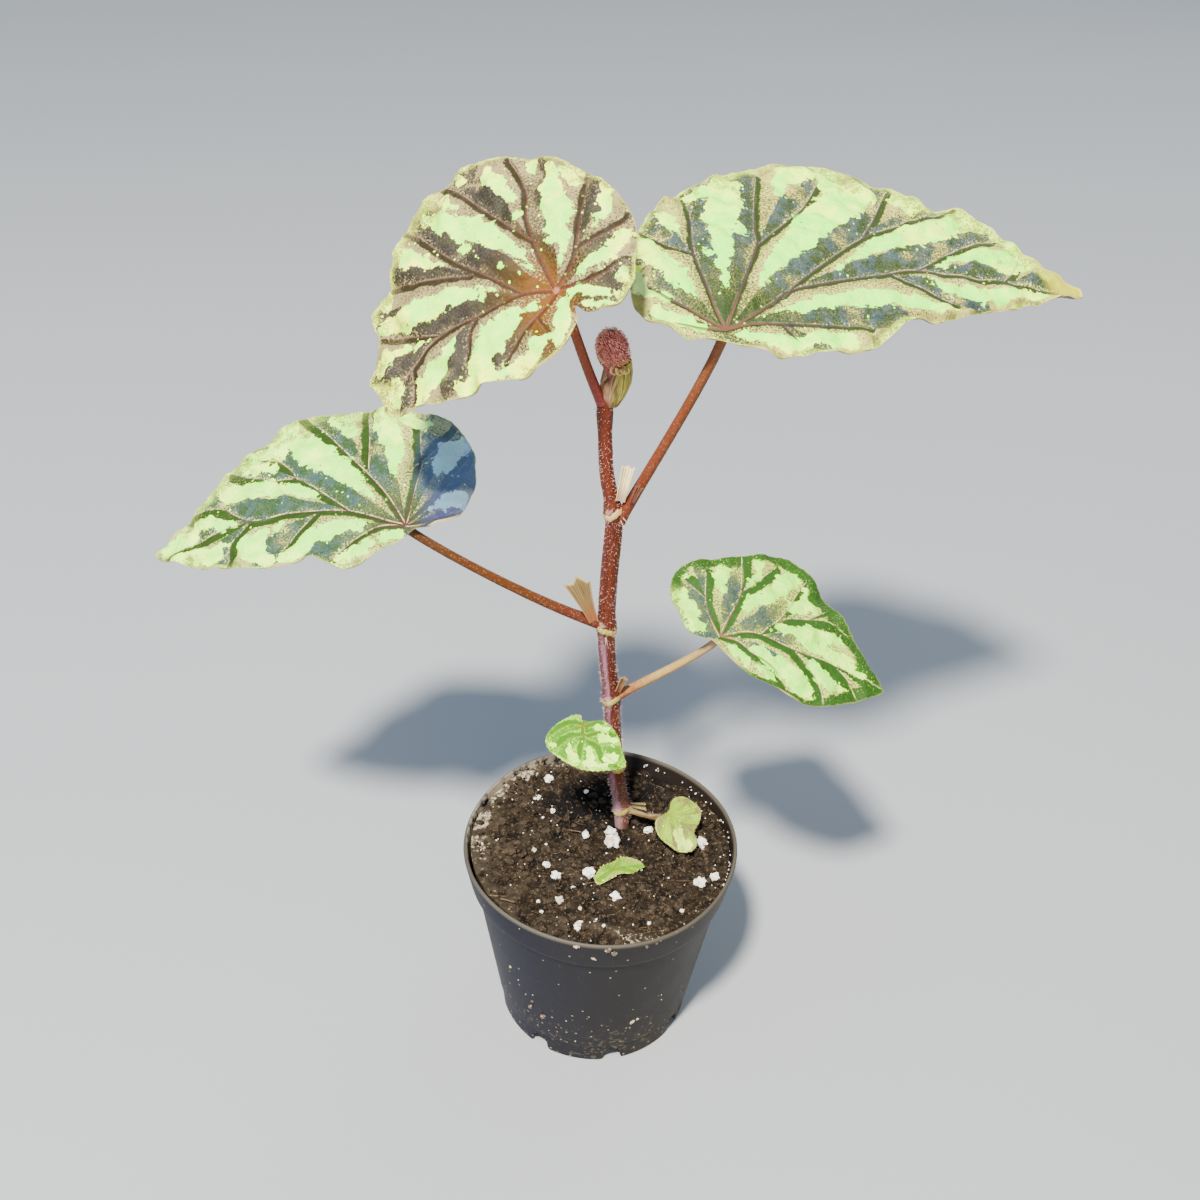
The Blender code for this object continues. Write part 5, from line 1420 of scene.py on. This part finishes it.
soil = {
    "level": 80.6, "highest": 83.6, "dip": 2.8, "dipPlace": (15.0, 28.0), "dipSpread": 20.0, "crustRise": 1.2,
    "lumps": 1.0, "crumbs": 0.45, "around": 360, "ringsTop": 92,
    # the double white grain in front of the stem: place from its middle, size
    "double": [((-0.5, 2.1, 0.9), (4.4, 4.8, 4.2)), ((0.5, -1.8, 0), (5.6, 5.2, 4.8))],
    # white grains, the double one first: x, y, width, length
    "grains": [(4.3, 5.2, 5.8, 8.8), (-3.9, -14.7, 5.0, 4.8), (39.2, 5.3, 4.0, 5.4), (18.3, 11.0, 3.6, 3.0),
               (-6.0, 5.6, 2.6, 3.6), (-16.6, -15.5, 4.0, 3.2), (-20.5, -10.1, 3.0, 2.8),
               (6.4, -25.6, 3.6, 3.4), (-14.3, -27.4, 3.4, 3.2), (-6.7, -40.4, 3.6, 3.4),
               (43.5, -12.2, 3.4, 3.0), (37.7, -16.1, 4.4, 4.0), (-25.3, 25.9, 2.4, 3.0),
               (-19.4, 19.5, 2.2, 1.8), (-22.3, 36.4, 3.4, 3.8), (-9.7, -21.6, 2.0, 2.0),
               (31.0, -30.0, 2.0, 1.6)],
    "smallGrains": 16, "wallGrains": 46, "specks": 140, "crumbCount": 1500, "fibres": 90,
    # two sticks near the front of the rim on the left: x, y and which way they lie
    "sticks": [(-40, -29.5, 1.0, -0.1), (-36.0, -31.0, 0.5, -0.2)],
    # sizes, from the least to the most
    "crumbSizes": (0.7, 1.6), "bigCrumbSizes": (1.7, 3.6), "bigCrumbEvery": 6,
    "smallGrainSizes": (0.9, 1.9), "wallGrainSizes": (0.25, 0.7), "speckSizes": (0.3, 0.8),
    "fibreLengths": (2.0, 7.0), "fibreWidths": (0.08, 0.22),
    # tones, dark and light where there are two
    "earth": ((0.0022, 0.0014, 0.0008), (0.0175, 0.0110, 0.0056)),
    "flecks": (0.066, 0.044, 0.023),
    "raised": (0.048, 0.036, 0.022),
    "deep": (0.003, 0.0024, 0.0022),
    "paintedShadow": (0.0012, 0.0010, 0.0014),
    "cake": (0.085, 0.062, 0.036),
    "crust": ((0.16, 0.12, 0.065), (0.50, 0.43, 0.30)),
    "crumbTones": ((0.005, 0.003, 0.0018), (0.040, 0.027, 0.016)),
    "crumbFlecks": (0.085, 0.060, 0.034),
    "grainTones": ((0.20, 0.15, 0.09), (0.72, 0.67, 0.56)),
    "grainStain": (0.30, 0.22, 0.12),
    "fibreTones": ((0.13, 0.075, 0.030), (0.035, 0.018, 0.009)),
}
# the inner wall above the band's foot, and the soil's edge against it
innerTop = np.array([(wallTop - pot["wall"], bandFoot + 0.7),
                     (bandRadius - pot["wall"] + 0.2, bandFoot + 1.7), (rim - 1.6, pot["height"] - 1.0)])
innerEdge = float(np.interp(pot["height"] - 6, innerTop[:, 1], innerTop[:, 0])) - 0.4


def soilHeight(x, y):
    x, y = np.atleast_1d(x), np.atleast_1d(y)
    dipX, dipY = soil["dipPlace"]
    dip = ((x - dipX) ** 2 + (y - dipY) ** 2) / (2 * soil["dipSpread"] ** 2)
    # the crust rises towards the left, and more at the wall
    crust = np.clip((-x - 26) / 14, 0, 1)
    crust = crust + 1.4 * np.clip((np.hypot(x, y) - 43.5) / 5, 0, 1) * np.clip((-x + 5) / 20, 0, 1)
    rough = 1 - 0.85 * np.exp(-((x - 7) ** 2 + (y + 13.6) ** 2) / 130)
    lumps = noiseAt(x, y, 0 * x, 9.0, 3.0 / 9.0) * 2 * soil["lumps"]
    crumbs = noiseAt(x, y, 0 * x, 3.2, 40.0 / 3.2) * 2 * soil["crumbs"]
    fine = noiseAt(x, y, 0 * x, 1.1, 7.0) * 0.9
    fine = np.where(fine > 0, fine, fine * 0.5)
    broken = np.array([min(1.2, noise.voronoi(Vector((a, b, 0)) / 1.9)[0][0]) for a, b in zip(x, y)])
    height = soil["level"] - soil["dip"] * np.exp(-dip) + soil["crustRise"] * crust
    height = height + rough * (lumps + crumbs) + fine * 0.55 * rough + (0.45 - broken) * 0.9 * rough
    return np.minimum(height, soil["highest"])


def groundAt(x, y):
    return float(soilHeight(x, y)[0])


wallRings = [(0.0, 10.1), (pot["foot"] - 0.6, 10.1), (wallTop - pot["wall"] - 0.35, bandFoot + 0.9),
             (bandRadius - pot["wall"] - 0.15, bandFoot + 2.0)]


def placeSoil(across, along):
    rows = len(wallRings) + soil["ringsTop"]
    i = np.round(along * rows).astype(int)
    angle = 2 * math.pi * across
    top = i >= len(wallRings)
    share = np.clip((rows - i) / soil["ringsTop"], 0, 1)
    wall = np.array(wallRings)[np.clip(i, 0, len(wallRings) - 1)]
    radius = np.where(top, innerEdge * share, wall[:, 0])
    radius = radius * squareFactor(soil["level"], angle)
    x, y = radius * np.cos(angle), radius * np.sin(angle)
    z = wall[:, 1].copy()
    z[top] = soilHeight(x[top], y[top])
    level = np.zeros(len(z))
    level[top] = z[top] - soil["level"]
    return np.stack([x, y, z], axis=1), {"level": level}


soilPiece = rolledGrid("soil_fine", soil["around"], len(wallRings) + soil["ringsTop"], placeSoil)
smoothPiece(soilPiece, 70)


def soilPaint():
    paint = Paint("soil_fine_paint", 0.9)
    place = paint.place()
    x, y = paint.axes(place, 2)
    coarse, fine = paint.noise(place, 160, 5, 0.7), paint.noise(place, 700, 4, 0.7)
    colour = paint.blend(paint.step(coarse, 0.35, 0.62), *soil["earth"])
    colour = paint.blend(paint.step(fine, 0.52, 0.67), colour, soil["flecks"])
    colour = paint.blend(paint.step(paint.value("level"), 0.2, 1.4) * 0.35, colour, soil["raised"])
    # painted shade: darker where the soil lies lowest, in the hollow
    colour = paint.blend(1 - paint.step(paint.value("level"), -3.6, -1.2), colour, soil["deep"])
    # painted shadow: dark in the hollow behind the stem, where the second leaf's shadow falls
    acrossShadow, overShadow = x * 1000 + 7, y * 1000 - 24
    off = (acrossShadow * acrossShadow * 0.6 + overShadow * overShadow).maths("SQRT")
    paintedShadow = 1 - paint.step(off + (coarse - 0.5) * 10, 9, 17)
    colour = paint.blend(paintedShadow * 0.85, colour, soil["paintedShadow"])
    # a pale mineral crust at the left wall and here and there at the edge
    away = ((x * x + y * y).maths("SQRT")) * 1000
    ahead = paint.step(y * 1000, -22, 2)
    leftSide = (1 - paint.step(x * 1000, -46, -36)) * ahead
    leftSide = leftSide.most(paint.step(away, 44.5, 47.5) * (1 - paint.step(x * 1000, -16, -4)) * ahead)
    frontSide = (1 - paint.step(y * 1000 + x * 150, -42, -34)) * paint.step(x * 1000, -4, 8)
    clumps = paint.step(paint.noise(place, 95, 3, 0.6), 0.38, 0.60)
    cake = leftSide.most(frontSide * 0.8) * (0.25 + clumps * 0.75)
    crust = fine * 0.8 + coarse * 0.4 + cake * 0.17 + paint.step(away, 40, 50) * 0.05
    crust = paint.step(crust, 0.75, 0.86)
    colour = paint.blend(cake * 0.35, colour, soil["cake"])
    colour = paint.blend(crust * 0.85, colour, paint.blend(fine, *soil["crust"]))
    return paint.finish(colour, 0.85 + fine * 0.15, bumps=((fine, 0.9, 0.5), (coarse, 0.6, 0.8)),
                        Specular_IOR_Level=0.1)


dress(soilPiece, soilPaint(), slots["soil"], "soil")


def lumpModel(subdivisions):
    bpy.ops.mesh.primitive_ico_sphere_add(subdivisions=subdivisions, radius=0.5)
    model = bpy.context.object
    points = [vert.co.copy() for vert in model.data.vertices]
    faces = [tuple(face.vertices) for face in model.data.polygons]
    bpy.data.objects.remove(model, do_unlink=True)
    return points, faces


lumpModels = {k: lumpModel(k) for k in (1, 2, 3)}


def lump(place, size, detail=1, jag=0.22, seed=0.0):
    points, faces = lumpModels[detail]
    turned = Euler([rng.uniform(0, 6.3) for _ in range(3)]).to_matrix()
    shaped = []
    for point in points:
        push = 1 + jag * noise.noise(point * 3.2 + Vector((seed, place[0], place[1]))) * 2
        push = push + rng.uniform(-jag, jag) * 0.35
        flat = turned @ (point * push)
        shaped.append(Vector((flat.x * size[0], flat.y * size[1], flat.z * size[2])) + Vector(place))
    return shaped, faces


def soilSpot(reach=0.97):
    radius = innerEdge * reach * math.sqrt(rng.random())
    angle = rng.uniform(0, 2 * math.pi)
    return radius * math.cos(angle), radius * math.sin(angle)


# clear of the scrap of leaf and of the stem
def offScrap(x, y):
    return ((x - 7) / 11) ** 2 + ((y + 13.4) / 6) ** 2 > 1 and math.hypot(x - 8, y - 16) > 4.5


shapes = []
for n in range(soil["crumbCount"]):
    x, y = soilSpot()
    if not offScrap(x, y):
        continue
    size = rng.uniform(*soil["crumbSizes" if n % soil["bigCrumbEvery"] else "bigCrumbSizes"])
    z = groundAt(x, y) + size * 0.15
    shapes.append(lump((x, y, z), (size, size * rng.uniform(0.7, 1.2), size * 0.75),
                       1 if size < soil["crumbSizes"][1] else 2, 0.3))
crumbs = scatterMesh("soil_crumbs", shapes)
paint = Paint("crumb_brown", 0.9)
place = paint.place()
grain = paint.noise(place, 260, 4, 0.7)
colour = paint.blend(paint.step(grain, 0.35, 0.65), *soil["crumbTones"])
colour = paint.blend(paint.step(paint.noise(place, 1200, 3), 0.58, 0.7), colour, soil["crumbFlecks"])
dress(crumbs, paint.finish(colour, None, bumps=((paint.noise(place, 1500, 3), 0.8, 0.3),),
                           Specular_IOR_Level=0.1), slots["soil"])

shapes = []
for n, (x, y, width, length) in enumerate(soil["grains"]):
    z = groundAt(x, y) + 0.22 * width
    if n == 0:
        for seed, ((dx, dy, dz), size) in enumerate(soil["double"], 1):
            shapes.append(lump((x + dx, y + dy, z + dz), size, 3, 0.32, seed))
        continue
    shapes.append(lump((x, y, z), (width * 0.92, length * 0.92, width * 0.8), 3, 0.36, n))
for n in range(soil["smallGrains"]):
    x, y = soilSpot()
    if offScrap(x, y):
        size = rng.uniform(*soil["smallGrainSizes"])
        shapes.append(lump((x, y, groundAt(x, y) + 0.3 * size), (size, size, size * 0.8), 2, 0.3, n))
# pale crumbs cling to the wall at the back right
for n in range(soil["wallGrains"]):
    angle = math.radians(rng.uniform(-20, 72))
    z = rng.uniform(79.6, 82.6)
    radius = (pot["rim"] - 1.9 - (pot["height"] - z) * 0.17) * float(squareFactor(z, angle))
    size = rng.uniform(*soil["wallGrainSizes"])
    shapes.append(lump((radius * math.cos(angle), radius * math.sin(angle), z), (size, size * 1.3, size),
                       1, 0.3, n))
for n in range(soil["specks"]):
    x, y = soilSpot()
    if offScrap(x, y):
        size = rng.uniform(*soil["speckSizes"])
        shapes.append(lump((x, y, groundAt(x, y) + 0.3 * size), (size, size, size), 1, 0.2, n))
grains = scatterMesh("white_grains", shapes)
smoothPiece(grains, 60)
paint = Paint("grain_white", 0.75)
place = paint.place()
pits = paint.noise(place, 1300, 4, 0.6)
colour = paint.blend(paint.step(pits, 0.30, 0.46), *soil["grainTones"])
colour = paint.blend(paint.step(paint.noise(place, 260, 3), 0.52, 0.68) * 0.75, colour, soil["grainStain"])
dress(grains, paint.finish(colour, None, bumps=((pits, 0.8, 0.4),)), slots["soil"])

shapes = []
for n in range(soil["fibres"]):
    x, y = soilSpot(0.92)
    if not offScrap(x, y):
        continue
    angle = rng.uniform(0, 2 * math.pi)
    way = (math.cos(angle), math.sin(angle), rng.uniform(-0.1, 0.2))
    shapes.append(hair((x, y, groundAt(x, y) + 0.45), way, rng.uniform(*soil["fibreLengths"]),
                       rng.uniform(*soil["fibreWidths"]), rng.uniform(-1.2, 1.2), 5, (0, 0, 1)))
for x, y, dx, dy in soil["sticks"]:
    shapes.append(hair((x, y, groundAt(x, y) + 0.6), (dx, dy, 0.05), 6.5, 0.4, 0.1, 3, (0, 0, 1)))
fibres = scatterMesh("soil_fibres", shapes)
dress(fibres, bristlePaint("fibre_tan", *soil["fibreTones"]), slots["soil"])
print("soil made")


# dirt stuck to the pot: angle from the front in degrees, height, size, pale (1) or brown (0)

dirt = [(-47, 45, 1.6, 1), (-42, 40, 0.9, 1), (-38, 33, 0.8, 1), (-34, 31, 1.6, 0), (-36, 26, 2.6, 0),
        (-28, 24, 2.6, 0), (-33, 36, 0.7, 1), (-14, 27, 0.9, 1), (-2, 33, 1.2, 0), (0, 22, 1.1, 0),
        (9, 23, 1.2, 0), (22, 26, 2.3, 1), (25, 27, 1.4, 1), (21, 22, 1.3, 0), (-20, 20, 1.0, 0),
        (38, 34, 0.8, 1), (37, 38, 0.7, 1), (-14, 11, 1.0, 0), (-8, 83.6, 2.2, 1), (4, 83.2, 2.8, 0),
        (7, 81.0, 3.0, 0), (20, 82.5, 2.0, 0), (24, 83.0, 1.4, 0), (-1, 77.0, 1.6, 1), (-33, 82, 0.8, 1),
        (-9, 13, 0.8, 1), (-25, 15, 0.8, 0), (28, 14, 0.8, 0)]
dirtTones = {"pale": ((0.50, 0.42, 0.26), (0.20, 0.15, 0.08)),
             "brown": ((0.13, 0.085, 0.045), (0.04, 0.024, 0.013))}
shapes = {"pale": [], "brown": []}
for degrees, z, size, pale in dirt:
    for part in range(4 if size > 1.2 else 1):
        a = math.radians(degrees - 90) + (rng.uniform(-0.3, 0.3) * size / 40 if part else 0)
        height = z + (rng.uniform(-0.4, 0.4) * size if part else 0)
        wallRadius = np.interp(height, [pot["footHeight"] + 0.8, bandFoot - 0.8, bandFoot, pot["height"]],
                               [pot["foot"] + 1.2, wallTop, bandRadius, pot["rim"]])
        wallRadius = float(wallRadius) * float(squareFactor(height, a))
        small = size * (0.45 if part else 0.7)
        shapes["pale" if pale else "brown"].append(
            lump((wallRadius * math.cos(a), wallRadius * math.sin(a), height), (small,) * 3, 2, 0.35, part))
for tone, clods in shapes.items():
    dirtPaint = bristlePaint("dirt_" + tone + "_paint", *dirtTones[tone])
    dress(scatterMesh("dirt_" + tone, clods), dirtPaint, slots["soil"])
print("dirt made")


# floor and light

light = {
    "floorSize": 6.0,
    "floorColours": ((0.27, 0.27, 0.265), (0.255, 0.255, 0.255)),
    # lamps: place and target in metres, size, watts, colour
    "lamps": {
        "key": ((-0.36, -1.02, 2.04), (-0.01, 0, 0.22), 0.22, 225, (1.0, 0.985, 0.93)),
        "front": ((0.35, -1.9, 0.75), (0, 0, 0.2), 0.9, 18, (1.0, 0.93, 0.84)),
        "fill": ((-1.4, -0.5, 0.9), (0, 0, 0.2), 1.4, 13, (0.52, 0.66, 1.0)),
        "rim": ((1.0, 1.3, 1.1), (0, 0, 0.2), 1.0, 12, (0.92, 0.96, 1.0)),
    },
    "sky": (0.50, 0.72, 1.0),
    "skyStrength": 0.75,
}

bpy.ops.object.select_all(action="DESELECT")
bpy.ops.mesh.primitive_plane_add(size=light["floorSize"])
floor = bpy.context.object
floor.name = "floor"
floorPaint = Paint("floor_pale", 0.7)
clouds = floorPaint.noise(floorPaint.place(), 3, 2)
floorPaint.finish(floorPaint.blend(clouds, *light["floorColours"]))
floor.data.materials.append(floorPaint.material)


def lamp(name, place, target, size, watts, colour):
    data = bpy.data.lights.new(name, "AREA")
    data.shape = "DISK"
    data.size = size
    data.energy = watts
    data.color = colour
    lampObject = bpy.data.objects.new(name, data)
    bpy.context.scene.collection.objects.link(lampObject)
    lampObject.location = place
    lampObject.rotation_euler = (Vector(target) - Vector(place)).to_track_quat("-Z", "Y").to_euler()


for name, settings in light["lamps"].items():
    lamp(name, *settings)
world = bpy.data.worlds.new("studio")
bpy.context.scene.world = world
world.use_nodes = True
sky = world.node_tree.nodes["Background"]
sky.inputs["Color"].default_value = (*light["sky"], 1)
sky.inputs["Strength"].default_value = light["skyStrength"]
print("floor and light placed")
